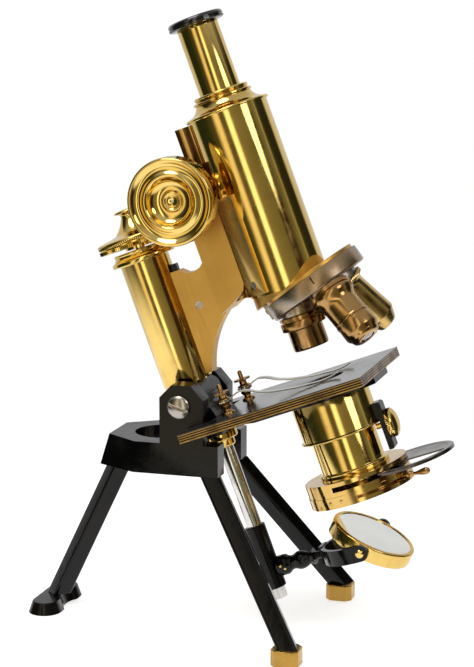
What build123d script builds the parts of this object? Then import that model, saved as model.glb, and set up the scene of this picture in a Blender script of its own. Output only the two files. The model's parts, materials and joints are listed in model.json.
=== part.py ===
from build123d import *
import os
from math import cos, degrees, pi, radians, sin

# A brass compound microscope on a black tripod, tube leaning back. Millimetres.
# World frame: origin on the table under the middle of the object, +X to the stage
# side, +Y to the left of someone at the eyepiece, +Z up.
# Limb frame: x is forward from the optical axis, y as the world's, z is up the tube.

# Driving dimensions: the stand
PIVOT_X = -28.2  # trunnion axis, along Y
PIVOT_Z = 145.7
TILT = 20.7  # lean of the tube from upright, degrees
HEAD_TOP = 122.0
HEAD_BOTTOM = 102.0
HEAD_HALF = 31.0  # half width over the two arms and cheeks
GAP_HALF = 18.2  # half width between them
HEAD_FRONT = -3.0
LEG_SIDE = 11.4
SHOE_X, SHOE_Y, SHOE_HEIGHT = 51.6, 66.7, 10.8
REAR_FOOT_X, REAR_FOOT_HEIGHT = -125.5, 8.4
RUN = 0.05  # radial clearance of a running fit

# Driving dimensions: the limb, along and across the tube
AXIS_OFFSET = 84.5  # trunnion axis to optical axis
AXIS_DROP = 13.3  # limb frame's origin above the trunnion axis, along the tube
PILLAR_X = -84.7
PILLAR_R = 15.8
TUBE_R, TUBE_BORE = 25.2, 23.4
TUBE_BOTTOM, TUBE_TOP = 34.5, 148.0
DRAW_R, DRAW_BORE = 12.9, 11.65
STAGE_TOP, STAGE_THICK = -27.4, 6.0
STAGE_REAR, STAGE_FRONT, STAGE_HALF = -84.3, 37.5, 50.5
APERTURE_R = 13.0
POST_X, POST_Y = -58.4, 21.8
WEB_HALF = 5.0
ARM_SCREW_X, ARM_SCREW_Z = -58.7, 41.2
PINION_X, PINION_Z = -38.8, 107.3
GEAR_MODULE, GEAR_TEETH = 0.8, 14
RACK_HALF = 4.0
RACK_LOW, RACK_HIGH = 60.0, 147.0
SLIDE_REAR = -33.6  # back of the dovetail bar
KNOB_R, KNOB_FACE = 27.0, 48.0
CLEAR_R = 27.8  # arm's hollow around the tube and its cradle

# Driving dimensions: nosepiece and objectives
NOSE_LEAN = 17.0  # turret axis from the tube's, degrees
NOSE_X, NOSE_Z = 17.4, 25.5  # centre of the turret's lower face
TURRET_R, TURRET_DEEP = 33.2, 10.2
TURRET_PIVOT_R = 3.9
OBJECTIVE_RING = 18.0  # radius of the ring of objectives on the turret's face

# Driving dimensions: substage, tail rod and mirror
SLEEVE_R, CONDENSER_R = 25.0, 20.5
IRIS_TOP, IRIS_SPLIT, IRIS_BOTTOM = -86.5, -95.0, -102.0
IRIS_R = 33.2
CARRIER_R, CARRIER_X = 29.0, 35.0
CARRIER_PIN_X, CARRIER_PIN_Y = 17.5, 25.0
ROD_X, ROD_R, ROD_BOTTOM = -76.0, 5.0, -152.0
MIRROR_X, MIRROR_Z, MIRROR_LEAN = -5.6, -132.5, 43.6
MIRROR_R = 27.2

PITCH_R = GEAR_MODULE * GEAR_TEETH / 2
RACK_ROOT = PINION_X + PITCH_R + 0.95
RACK_BED = RACK_ROOT + 1.4
MIDDLE_X = 0.96  # middle of the object's length, moved to the origin on export
MIN_END = (Align.CENTER, Align.CENTER, Align.MIN)
parts = {}


def turned(*profile):
    """Turn a closed (radius, height) outline about Z."""
    outline = Polyline(*[(r, 0, z) for r, z in profile], close=True)
    return revolve(make_face(outline), Axis.Z)


def disc(radius, low, high):
    return Pos(0, 0, low) * Cylinder(radius, high - low, align=MIN_END)


def ring(outer, inner, low, high):
    return disc(outer, low, high) - disc(inner, low - 1, high + 1)


def block(x, y, z):
    """A box given by its two limits along each axis."""
    size = (x[1] - x[0], y[1] - y[0], z[1] - z[0])
    return Pos(x[0], y[0], z[0]) * Box(*size, align=(Align.MIN,) * 3)


def side_plate(points, half):
    """A flat outline in the XZ plane, thick along Y on both sides of it."""
    face = make_face(Polyline(*[(x, 0, z) for x, z in points], close=True))
    return extrude(face, half, both=True)


def along_y(shape):
    """Stand a shape made about Z on the Y axis."""
    return Rot(X=-90) * shape


def along_x(shape):
    return Rot(Y=90) * shape


def polar(radius, angle):
    return radius * cos(radians(angle)), radius * sin(radians(angle))


def limb_origin():
    """World place of the limb frame's origin, from the trunnion axis."""
    lean = radians(TILT)
    x = PIVOT_X + AXIS_OFFSET * cos(lean) - AXIS_DROP * sin(lean)
    z = PIVOT_Z + AXIS_OFFSET * sin(lean) + AXIS_DROP * cos(lean)
    return x, 0, z


LIMB = Location(Plane(origin=limb_origin(), x_dir=(cos(radians(TILT)), 0, sin(radians(TILT))),
                      z_dir=(-sin(radians(TILT)), 0, cos(radians(TILT)))))
NOSE = Location(Plane(origin=(NOSE_X, 0, NOSE_Z), x_dir=(cos(radians(NOSE_LEAN)), 0, sin(radians(NOSE_LEAN))),
                      z_dir=(-sin(radians(NOSE_LEAN)), 0, cos(radians(NOSE_LEAN)))))
PIVOT = Pos(-AXIS_OFFSET, 0, -AXIS_DROP)  # the trunnion axis, in the limb frame


# --- stand ---

def leg_line(side):
    """Top (at the head's underside) and foot (on the shoe or foot) of a leg's middle line."""
    if side == 0:
        return (-77.6, 0, HEAD_BOTTOM), (-122.8, 0, REAR_FOOT_HEIGHT - 0.6)
    return (-10.0, side * 24.6, HEAD_BOTTOM), (SHOE_X, side * SHOE_Y, SHOE_HEIGHT)


def leg(side):
    """Square bar with rounded edges, one of them outwards, cut level at the head and the foot."""
    top, foot = (Vector(*point) for point in leg_line(side))
    run = top - foot
    plane = Plane(origin=foot, x_dir=(-run.Y, run.X, 0), z_dir=run)
    section = plane * Pos(0, 0, -20) * Rot(Z=45) * RectangleRounded(LEG_SIDE, LEG_SIDE, 2.0)
    bar = extrude(section, run.length + 40, dir=run.normalized())
    return bar & block((-200, 200), (-100, 100), (foot.Z, HEAD_BOTTOM))


def leg_tenon(side):
    """The round end that screws up into the head."""
    top, foot = (Vector(*point) for point in leg_line(side))
    run = top - foot
    plane = Plane(origin=top - run.normalized() * 6, z_dir=run)
    peg = plane * Cylinder(4.0, 18, align=MIN_END)
    return peg & block((-200, 200), (-100, 100), (HEAD_BOTTOM, 200))


def tripod_head():
    """Round-ended fork: battered sides, two arms and a chamfered cheek on each."""
    half = HEAD_HALF
    low_points = [(-86, -17), (-86, 17), (-59, half), (HEAD_FRONT, half), (HEAD_FRONT, -half), (-59, -half)]
    top_points = [(-80, -16), (-80, 16), (-58, half), (HEAD_FRONT, half), (HEAD_FRONT, -half), (-58, -half)]
    low = make_face(Polyline(*[(x, y, HEAD_BOTTOM) for x, y in low_points], close=True))
    top = make_face(Polyline(*[(x, y, HEAD_TOP) for x, y in top_points], close=True))
    casting = loft([low, top], ruled=True)
    cheek_line = [(-41, HEAD_TOP - 2), (-41, 151), (-33, 159.3), (-20.5, 159.3), (-12.5, 150.3),
                  (-12.5, HEAD_TOP - 2)]
    casting += side_plate(cheek_line, half)
    casting -= block((-49, 10), (-GAP_HALF, GAP_HALF), (90, 170))
    casting -= Pos(-49, 0, 0) * disc(GAP_HALF, 90, 170)
    casting -= Pos(PIVOT_X, 0, PIVOT_Z) * along_y(disc(4.0, -40, 40))
    for side in (-1, 0, 1):
        casting -= leg_tenon(side)
    return casting


def shoe(side):
    body = Pos(SHOE_X, side * SHOE_Y, 0) * Box(17.4, 17.4, SHOE_HEIGHT, align=MIN_END)
    body = chamfer(body.edges().filter_by(Axis.Z), 3.6)
    return chamfer(body.edges().group_by(Axis.Z)[-1], 0.7)


def rear_foot():
    """Two round toes joined by a waist, hollowed at the front, sides drawn in to the top."""
    outline = SlotOverall(57, 22, rotation=90) - Pos(27, 0) * Circle(19.5)
    return Pos(REAR_FOOT_X, 0, 0) * extrude(outline, REAR_FOOT_HEIGHT - 0.6, taper=20)


def trunnion_screw(side):
    """Domed slotted head on the cheek, shank through the cheek into the joint block."""
    head = turned((0, 0), (7.5, 0), (7.3, 1.2), (6.2, 2.3), (4.2, 3.1), (2.0, 3.5), (0, 3.6))
    head -= Rot(Z=-18) * block((-8, 8), (-0.8, 0.8), (1.9, 4))
    screw = Pos(0, 0, HEAD_HALF) * head + disc(4.0 - RUN, 8, HEAD_HALF + 0.5)
    return Pos(PIVOT_X, 0, PIVOT_Z) * along_y(screw if side > 0 else Rot(X=180) * screw)


def build_stand():
    parts["tripod_head"] = tripod_head()
    for name, side in (("rear_leg", 0), ("front_leg_right", -1), ("front_leg_left", 1)):
        parts[name] = leg(side) + leg_tenon(side)
    parts["front_shoes"] = Compound([shoe(side) for side in (-1, 1)])
    parts["rear_foot"] = rear_foot() - leg(0)
    parts["trunnion_screws"] = Compound([trunnion_screw(side) for side in (-1, 1)])


# --- limb: what tilts on the trunnions ---

def joint_block():
    """Barrel on the trunnions with a foot that carries the stage bracket and the tail rod."""
    half = GAP_HALF - 0.2
    body = along_y(disc(14, -half, half))
    body += side_plate([(-12.5, 6), (-12.5, -20), (-7, -26), (16.4, -26), (16.4, -14.1), (13.2, -4.5)], half)
    body = PIVOT * (body - along_y(disc(4.0 + RUN, -30, 30)))
    body -= Pos(PILLAR_X, 0, 0) * disc(30, -4.3, 20)
    return body - Pos(ROD_X, 0, 0) * disc(ROD_R + RUN, -50, -27.9)


def stage_bracket():
    """Black plate under the stage, wide round the substage, narrow between the arms."""
    top, low = STAGE_TOP - STAGE_THICK, STAGE_TOP - STAGE_THICK - 4.3
    outline = [(-68.1, -17), (-52, -17), (-44, -24), (28, -24), (35.8, -17)]
    outline += [(x, -y) for x, y in reversed(outline)]
    plate = extrude(make_face(Polyline(*[(x, y, low) for x, y in outline], close=True)), top - low)
    plate += disc(29.5, low, top)
    return plate - disc(CONDENSER_R + RUN, low - 1, top + 1)


def stage_outline(low, high):
    """Stage plan: square plate notched at the rear so that its lugs pass outside the cheeks."""
    plate = block((STAGE_REAR, STAGE_FRONT), (-STAGE_HALF, STAGE_HALF), (low, high))
    notch_half = HEAD_HALF + 0.9
    plate -= block((STAGE_REAR - 1, -68), (-notch_half, notch_half), (low - 1, high + 1))
    plate -= disc(APERTURE_R, low - 1, high + 1)
    for side in (-1, 1):
        plate -= Pos(POST_X, side * POST_Y, 0) * disc(2.0, low - 1, high + 1)
    return plate


def stage_plate():
    """Brass plates riveted face to face: the joints show as grooves all round the edge."""
    plate = stage_outline(STAGE_TOP - STAGE_THICK, STAGE_TOP - 0.6)
    for level in (1.5, 2.9, 4.3):
        height = STAGE_TOP - STAGE_THICK + level
        for side in (-1, 1):
            y = sorted((side * (STAGE_HALF - 0.5), side * (STAGE_HALF + 1)))
            plate -= block((STAGE_REAR - 1, STAGE_FRONT + 1), y, (height - 0.22, height + 0.22))
        plate -= block((STAGE_REAR - 1, STAGE_REAR + 0.5), (-60, 60), (height - 0.22, height + 0.22))
    return plate


def clip_post(side):
    post = turned((0, STAGE_TOP - STAGE_THICK - 2.4), (4.0, STAGE_TOP - STAGE_THICK - 2.4),
                  (4.0, STAGE_TOP - STAGE_THICK), (2.0, STAGE_TOP - STAGE_THICK), (2.0, STAGE_TOP),
                  (4.2, STAGE_TOP), (4.2, STAGE_TOP + 0.9), (2.3, STAGE_TOP + 1.9), (2.1, STAGE_TOP + 2.9),
                  (3.4, STAGE_TOP + 4.2), (3.6, STAGE_TOP + 5.0), (2.6, STAGE_TOP + 6.2), (4.6, STAGE_TOP + 6.9),
                  (4.6, STAGE_TOP + 7.5), (2.6, STAGE_TOP + 7.5), (2.6, STAGE_TOP + 8.7), (4.4, STAGE_TOP + 8.7),
                  (4.4, STAGE_TOP + 9.3), (2.4, STAGE_TOP + 10.2), (2.4, STAGE_TOP + 12.4), (5.3, STAGE_TOP + 12.8),
                  (5.3, STAGE_TOP + 14.0), (1.4, STAGE_TOP + 14.4), (1.4, STAGE_TOP + 18.5), (0.9, STAGE_TOP + 19.2),
                  (0, STAGE_TOP + 19.2))
    return Pos(POST_X, side * POST_Y, 0) * post


def stage_clip(side, swing):
    """Spring strip: an eye round the post, a hump, then a long droop to the stage."""
    under = STAGE_TOP + 7.6
    thick = 0.8
    line = [(4, under), (9.5, under + 2.9), (13, under + 2.7), (24, under - 1.8), (38, under - 5.0),
            (55, under - 7.0), (66, under - 7.1), (73, under - 5.6)]
    band = line + [(x, z + thick) for x, z in reversed(line)]
    clip = side_plate(band, 2.7)
    clip += disc(4.9, under, under + thick)
    clip -= disc(2.6 + RUN, under - 1, under + 2)
    return Pos(POST_X, side * POST_Y, 0) * Rot(Z=swing) * clip


def tail_rod_collar():
    """Stepped collar under the joint block, in which the rod turns."""
    low, bore = -AXIS_DROP - 26, ROD_R + RUN
    return Pos(ROD_X, 0, 0) * turned((bore, low), (10.2, low), (10.2, low - 4.6), (9.2, low - 5.2),
                                     (7.2, low - 5.4), (7.0, low - 9.2), (6.2, low - 10), (bore, low - 10))


def substage_sleeve():
    top, low = STAGE_TOP - STAGE_THICK - 4.3, -61.3
    bore = CONDENSER_R + RUN
    sleeve = turned((bore, top), (SLEEVE_R, top), (SLEEVE_R, low), (26.5, low), (26.5, low - 1.2),
                    (SLEEVE_R - 0.6, low - 1.6), (bore, low - 1.6))
    return sleeve


def substage_guide():
    """Black bar down the front of the sleeve that holds the clamp screw."""
    bar = block((22, 30.2), (-4.5, 4.5), (-81, -50.5)) - disc(26.7, -82, -49)
    tongue = block((24, 27.5), (-4.5, 4.5), (-60.5, -50.5)) - disc(SLEEVE_R, -82, -49)
    bar += tongue
    bar = chamfer(bar.edges().filter_by(Axis.Y).group_by(Axis.X)[-1], 1.2)
    return bar - Pos(0, 0, -65.5) * along_x(disc(1.9 + RUN, 0, 40))


def pillar_core():
    """Round guide on which the arm's pillar slides for fine focus."""
    return Pos(PILLAR_X, 0, 0) * disc(12.35, -AXIS_DROP + 9.0, 57.0)


def fine_focus_spring():
    """Five open coils between the core and the pillar's cap."""
    coil = Helix(pitch=3.0, height=15.0, radius=8.0)
    wire_face = Plane(origin=coil @ 0, z_dir=coil % 0) * Circle(0.6)
    return Pos(PILLAR_X, 0, 57.6) * sweep(wire_face, path=coil, is_frenet=True)


def build_limb():
    parts["joint_block"] = LIMB * joint_block()
    parts["stage_bracket"] = LIMB * stage_bracket()
    parts["stage_plate"] = LIMB * stage_plate()
    parts["stage_face"] = LIMB * stage_outline(STAGE_TOP - 0.6, STAGE_TOP)
    parts["clip_posts"] = LIMB * Compound([clip_post(side) for side in (-1, 1)])
    parts["stage_clip_right"] = LIMB * stage_clip(-1, 9)
    parts["stage_clip_left"] = LIMB * stage_clip(1, -1)
    parts["tail_rod"] = LIMB * Pos(ROD_X, 0, 0) * disc(ROD_R, ROD_BOTTOM, -28)
    parts["tail_rod_collar"] = LIMB * tail_rod_collar()
    parts["substage_sleeve"] = LIMB * substage_sleeve()
    parts["substage_guide"] = LIMB * substage_guide()
    parts["pillar_core"] = LIMB * pillar_core()
    parts["fine_focus_spring"] = LIMB * fine_focus_spring()


# --- arm: the pillar sleeve, the arm plate and its slide housing ---

def pillar_sleeve():
    bore = 12.35 + RUN
    return Pos(PILLAR_X, 0, 0) * turned(
        (bore, -2.6), (PILLAR_R, -2.6), (PILLAR_R, 79.3), (20.5, 79.3), (20.5, 81.6), (19.4, 82.3), (18.0, 83.4),
        (17.4, 84.9), (17.6, 86.2), (17.0, 86.9), (3.1, 86.9), (3.1, 75.5), (bore, 75.5))


def arm_plate():
    """Thin web off the pillar, then the thick housing for the tube's slide and the pinion."""
    lower = ThreePointArc((-65.5, -1), (-57.0, 17.0), (-42, 32.3))
    rim = Polyline((-42, 32.3), (-42, 70), (-46, 66.5), (-50, 63.2), (-55, 61.8), (-60, 62.6), (-64, 66), (-80, 66),
                   (-80, -1), (-65.5, -1))
    web_face = make_face([Edge(e.wrapped) for e in lower.edges()] + [Edge(e.wrapped) for e in rim.edges()])
    web = extrude(Rot(X=90) * web_face, WEB_HALF, both=True)
    web -= Pos(PILLAR_X, 0, 0) * disc(PILLAR_R, -20, 90)
    housing_line = [(-43, 31.7), (-34, 35.7), (-27.9, 39.2), (-24, 41.4), (-22, 45.5), (-20, 55), (-20, 123),
                    (-46, 123), (-50.5, 118), (-50.5, 96), (-43, 84)]
    housing = side_plate(housing_line, 17.0)
    housing -= disc(CLEAR_R, 0, 200)
    plate = web + housing
    plate -= extrude(slide_section(0.08), 200)
    plate -= block((SLIDE_REAR - 0.6, SLIDE_REAR + 1), (-RACK_HALF - 0.3, RACK_HALF + 0.3), (0, 200))
    plate -= Pos(PINION_X, 0, PINION_Z) * along_y(disc(PITCH_R + 1.4, -RACK_HALF - 0.3, RACK_HALF + 0.3))
    plate -= Pos(PINION_X, 0, PINION_Z) * along_y(disc(4.0 + RUN, -20, 20))
    return plate - arm_screw(0)


def arm_screw(slot):
    """Cheese-head screw let into the web's side; slot 0 gives the shape of its hole."""
    screw = disc(2.6, -1.6, 0) + disc(1.4, -4.0, -1.5)
    if slot:
        screw -= Rot(Z=25) * block((-4, 4), (-slot / 2, slot / 2), (-0.7, 1))
    return Pos(ARM_SCREW_X, -WEB_HALF, ARM_SCREW_Z) * Rot(X=90) * screw


def slide_section(gap):
    """Dovetail bar behind the tube, grown by a gap for the slot that it runs in."""
    rear, neck = SLIDE_REAR - gap, -28.8 - gap
    points = [(rear, -9 - gap), (neck, -6.2 - gap), (-20, -6.2 - gap)]
    points += [(x, -y) for x, y in reversed(points)]
    return make_face(Polyline(*[(x, y, 0) for x, y in points], close=True))


def build_arm():
    parts["pillar_sleeve"] = LIMB * pillar_sleeve()
    parts["arm_plate"] = LIMB * arm_plate()
    parts["arm_screw"] = LIMB * arm_screw(0.8)
    stop = block((-69, -65.2), (-2.4, 2.4), (66, 70.6)) - Pos(PILLAR_X, 0, 0) * disc(PILLAR_R, 0, 90)
    parts["arm_stop"] = LIMB * stop


def build_fine_focus():
    head = turned((0, 87.6), (9, 87.6), (9, 89.5), (24.6, 89.5), (25.3, 90), (25.3, 92.0), (24.7, 92.4), (24.7, 92.9),
                  (25.3, 93.2), (25.3, 95.2), (23.0, 96.4), (12.4, 98.4), (10.8, 99.8), (8.8, 102.0), (6.6, 105.2),
                  (4.9, 109.0), (5.4, 110.4), (8.3, 111.0), (8.3, 112.2), (5.5, 113.0), (0, 113.2))
    parts["fine_focus_head"] = LIMB * Pos(PILLAR_X, 0, 0) * head
    parts["micrometer_screw"] = LIMB * Pos(PILLAR_X, 0, 0) * disc(3.1 - RUN, 58.0, 87.6)


# --- coarse focus: pinion and its two knobs ---

def pinion():
    """Shaft with straight-flanked teeth in the middle, meeting the rack half a space off."""
    tip, root = PITCH_R + 0.65, PITCH_R - 0.95
    step = 360 / GEAR_TEETH
    points = []
    for tooth in range(GEAR_TEETH):
        middle = tooth * step
        for radius, offset in ((root, -6.6), (tip, -2.6), (tip, 2.6), (root, 6.6)):
            points.append(polar(radius, middle + offset))
    wheel = extrude(make_face(Polyline(*[(x, y, 0) for x, y in points], close=True)), RACK_HALF - 0.3, both=True)
    shaft = disc(4.0, -41, 41)
    return along_y(wheel + shaft)


def coarse_knob(side):
    """Milled rim round a dished face with a raised ring and a small middle boss."""
    knob = turned((4.0, 17.4), (9.8, 17.4), (9.8, 19.0), (8.2, 20.2), (8.2, 30.5), (11.5, 33.0), (25.6, 34.0),
                  (27.0, 35.0), (27.0, 46.4), (26.3, 47.6), (25.4, KNOB_FACE), (24.6, 47.7), (23.2, 46.3),
                  (21.6, 45.4), (19.8, 45.3), (18.2, 46.1), (17.0, 47.0), (16.2, 47.1), (15.3, 46.5), (14.2, 44.9),
                  (12.6, 42.8), (10.4, 41.3), (8.0, 40.7), (6.6, 40.8), (6.2, 42.0), (5.2, 42.3), (4.4, 41.8),
                  (4.0, 41.2))
    return along_y(knob if side > 0 else Rot(X=180) * knob)


def build_coarse_focus():
    here = LIMB * Pos(PINION_X, 0, PINION_Z)
    parts["pinion"] = here * pinion()
    parts["coarse_knob_right"] = here * coarse_knob(-1)
    parts["coarse_knob_left"] = here * coarse_knob(1)


# --- body: the tube and all that rides up and down with it ---

def above_nosepiece(low):
    """Everything on the tube's side of the nosepiece plate."""
    return NOSE * block((-80, 80), (-60, 60), (low, 300))


def body_tube():
    return ring(TUBE_R, TUBE_BORE, TUBE_BOTTOM, TUBE_TOP) & above_nosepiece(12.5)


def body_collar():
    """Flanged cap with a stepped neck, and the inner tube that guides the draw tube."""
    bore = DRAW_R + RUN
    return turned((bore, 100), (14.4, 100), (14.4, 142), (TUBE_BORE, 142), (TUBE_BORE, TUBE_TOP), (26.5, TUBE_TOP),
                  (26.5, 149.5), (23.4, 150.2), (20.6, 151.6), (18.4, 153.8), (17.4, 156.1), (18.7, 156.4),
                  (18.7, 157.7), (17.0, 158.1), (16.6, 159.0), (17.3, 159.3), (17.3, 160.5), (16.6, 161.0), (bore, 161.0))


def cradle():
    """Shell round the back of the tube with flat flanks, in one piece with the dovetail bar."""
    low, high, spread = 36.0, 99.0, 73.0
    shell = ring(27.5, TUBE_R, low, high)
    wedge = [(0, 0), polar(60, 180 - spread), (-60, 60), (-60, -60), polar(60, 180 + spread)]
    shell &= extrude(Pos(0, 0, low) * make_face(Polyline(*[(x, y, 0) for x, y in wedge], close=True)), high - low)
    start, end = 38.5, spread
    middle = (start + end) / 2
    flat = 27.5 * cos(radians((end - start) / 2))
    for side in (-1, 1):
        shell -= Rot(Z=180 - side * middle) * block((flat, 40), (-8.4, 8.4), (low - 1, high + 1))
    bar = extrude(Pos(0, 0, low) * slide_section(0), 147.5 - low) - disc(TUBE_R, 0, 200)
    return shell + bar, flat, middle


def rack():
    """Toothed strip let into the back of the dovetail bar."""
    pitch = GEAR_MODULE * pi
    tip = PINION_X + PITCH_R - 0.65
    teeth = []
    first = PINION_Z + pitch / 2
    level = first - pitch * int((first - RACK_LOW - 2) / pitch)
    while level < RACK_HIGH - 1:
        teeth += [(RACK_ROOT, level - 0.78), (tip, level - 0.3), (tip, level + 0.3), (RACK_ROOT, level + 0.78)]
        level += pitch
    points = [(RACK_BED, RACK_LOW), (RACK_ROOT, RACK_LOW)] + teeth + [(RACK_ROOT, RACK_HIGH), (RACK_BED, RACK_HIGH)]
    return side_plate(points, RACK_HALF)


def nosepiece_plate():
    """Fixed disc over the turret, with a wedge that closes the tube's slanted end."""
    plate = NOSE * disc(31.5, TURRET_DEEP + 0.1, 12.5)
    wedge = disc(TUBE_BORE, 10, 44) & above_nosepiece(12.5)
    outer = disc(TUBE_R - 1.0, 10, TUBE_BOTTOM) & above_nosepiece(12.5)
    plug = plate + wedge + outer - disc(9, 0, 60)
    return plug - NOSE * disc(TURRET_PIVOT_R - RUN, -10, 12.5)


def turret_catch():
    """Spring strip with a screw that drops into notches on the turret's rim."""
    strip = block((-35.2, -33.7), (-3.6, 3.6), (2.5, 12.5)) + block((-35.2, -31.5), (-3.6, 3.6), (10.4, 12.5))
    strip -= disc(31.5, 0, 20)
    screw = Pos(-35.2, 0, 8.4) * along_x(turned((0, -1.5), (1.2, -1.5), (2.0, -0.9), (2.2, 0), (0, 0)))
    return NOSE * (strip + screw)


def turret_screw():
    """Slotted pivot that the turret turns on."""
    shank = TURRET_PIVOT_R - RUN
    pin = turned((0, -2.4), (4.2, -2.4), (5.2, -1.6), (5.2, -0.1), (shank, -0.1), (shank, 12.5), (0, 12.5))
    return pin - block((-6, 6), (-0.5, 0.5), (-3, -1.6))


def countersunk_screw():
    return turned((0, -2.2), (1.3, -2.2), (1.3, -1.2), (2.5, 0), (0, 0))


def build_body():
    saddle, flat, middle = cradle()
    places = [Rot(Z=180 - side * middle) * Pos(flat, 0, 42.6) for side in (-1, 1)]
    holes = [place * along_x(countersunk_screw()) for place in places]
    slot = along_x(Rot(Z=35) * block((-3, 3), (-0.35, 0.35), (-0.6, 1)))
    screws = [place * (along_x(countersunk_screw()) - slot) for place in places]
    rack_bed = block((SLIDE_REAR - 1, RACK_BED), (-RACK_HALF, RACK_HALF), (RACK_LOW, RACK_HIGH))
    tube = body_tube()
    for hole in holes:
        saddle -= hole
        tube -= hole
    parts["body_tube"] = LIMB * tube
    parts["body_collar"] = LIMB * body_collar()
    parts["tube_cradle"] = LIMB * (saddle - rack_bed)
    parts["cradle_screws"] = LIMB * Compound(screws)
    parts["rack"] = LIMB * rack()
    parts["nosepiece_plate"] = LIMB * nosepiece_plate()
    parts["turret_catch"] = LIMB * turret_catch()
    parts["turret_screw"] = LIMB * NOSE * turret_screw()


def build_draw_tube():
    parts["draw_tube"] = LIMB * ring(DRAW_R, DRAW_BORE, 95.0, 203.2)
    shell = DRAW_BORE - RUN
    parts["eyepiece_body"] = LIMB * turned(
        (10.4, 168), (shell, 168), (shell, 203.3), (16.2, 203.3), (17.5, 203.9), (17.5, 205.0), (17.1, 205.2),
        (17.1, 205.6), (17.5, 205.8), (17.5, 206.8), (17.1, 207.0), (16.7, 208.2), (8.0, 208.2), (4.6, 206.6),
        (4.6, 203.2), (6.4, 203.2), (6.4, 196.6), (10.4, 195.4))
    eye_lens = turned((0, 197.4), (6.4, 197.4), (6.4, 199.6), (4.4, 200.8), (2.2, 201.5), (0, 201.7))
    field_lens = turned((0, 169.0), (10.4, 169.0), (10.4, 170.6), (7.4, 172.2), (3.8, 173.2), (0, 173.5))
    parts["eyepiece_lenses"] = LIMB * Compound([eye_lens, field_lens])


# --- turret and objectives ---

def objective_place(turn):
    """Frame of one objective: origin on the turret's face, z out along the objective."""
    lean = radians(NOSE_LEAN)
    socket = Rot(Z=turn) * Pos(-OBJECTIVE_RING, 0, 0)
    return NOSE * socket * Rot(Y=180 + degrees(lean))


OBJECTIVES = {
    "objective_low": (0, 7.0, [
        (13.8, 4.6), (13.8, 6.2), (12.6, 6.5), (12.6, 7.1), (14.0, 7.4), (14.0, 12.4), (11.3, 12.8), (11.3, 25.2),
        (10.6, 26.2)]),
    "objective_medium": (120, 5.0, [
        (14.2, 4.6), (14.2, 7.0), (13.2, 7.4), (13.2, 8.4), (14.0, 8.9), (13.5, 10.6), (11.9, 13.0), (11.2, 16.0),
        (11.2, 26.4), (11.6, 26.8), (11.6, 27.9), (11.0, 28.2), (11.0, 29.2), (11.5, 29.5), (11.3, 36.6), (9.7, 38.8),
        (9.3, 40.2), (8.3, 41.4), (6.0, 42.0)]),
    "objective_high": (240, 3.0, [
        (13.8, 4.6), (13.8, 6.8), (12.6, 7.2), (10.8, 9.0), (10.6, 10.0), (10.6, 36.0), (9.9, 36.6), (6.4, 42.4),
        (5.4, 43.2)]),
}


def build_turret():
    body = disc(TURRET_R, 0, TURRET_DEEP) - disc(TURRET_PIVOT_R, -1, 20)
    rim = body.edges().filter_by(GeomType.CIRCLE).group_by(Axis.Z)[0].sort_by(SortBy.LENGTH)[-1:]
    body = NOSE * chamfer(rim, 0.8)
    lenses = []
    for name, (turn, bore, profile) in OBJECTIVES.items():
        place = objective_place(turn)
        socket = place * disc(12.0, -5.0, 4.6)
        body += socket & NOSE * block((-40, 40), (-40, 40), (-20, TURRET_DEEP))
    for name, (turn, bore, profile) in OBJECTIVES.items():
        place = objective_place(turn)
        body -= place * disc(8.0, -30, 5)
        end = profile[-1][1]
        outline = [(bore + 1.5, 4.6)] + profile + [(bore, end), (bore, end - 3), (bore + 1.5, end - 3)]
        parts[name] = LIMB * place * turned(*outline)
        front = turned((0, end - 3), (bore, end - 3), (bore, end - 0.6), (bore * 0.6, end - 0.2), (0, end))
        lenses.append(place * front)
    parts["turret"] = LIMB * (body - NOSE * disc(60, TURRET_DEEP, 30))
    parts["objective_lenses"] = LIMB * Compound(lenses)


# --- substage: condenser, iris and filter carrier ---

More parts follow.
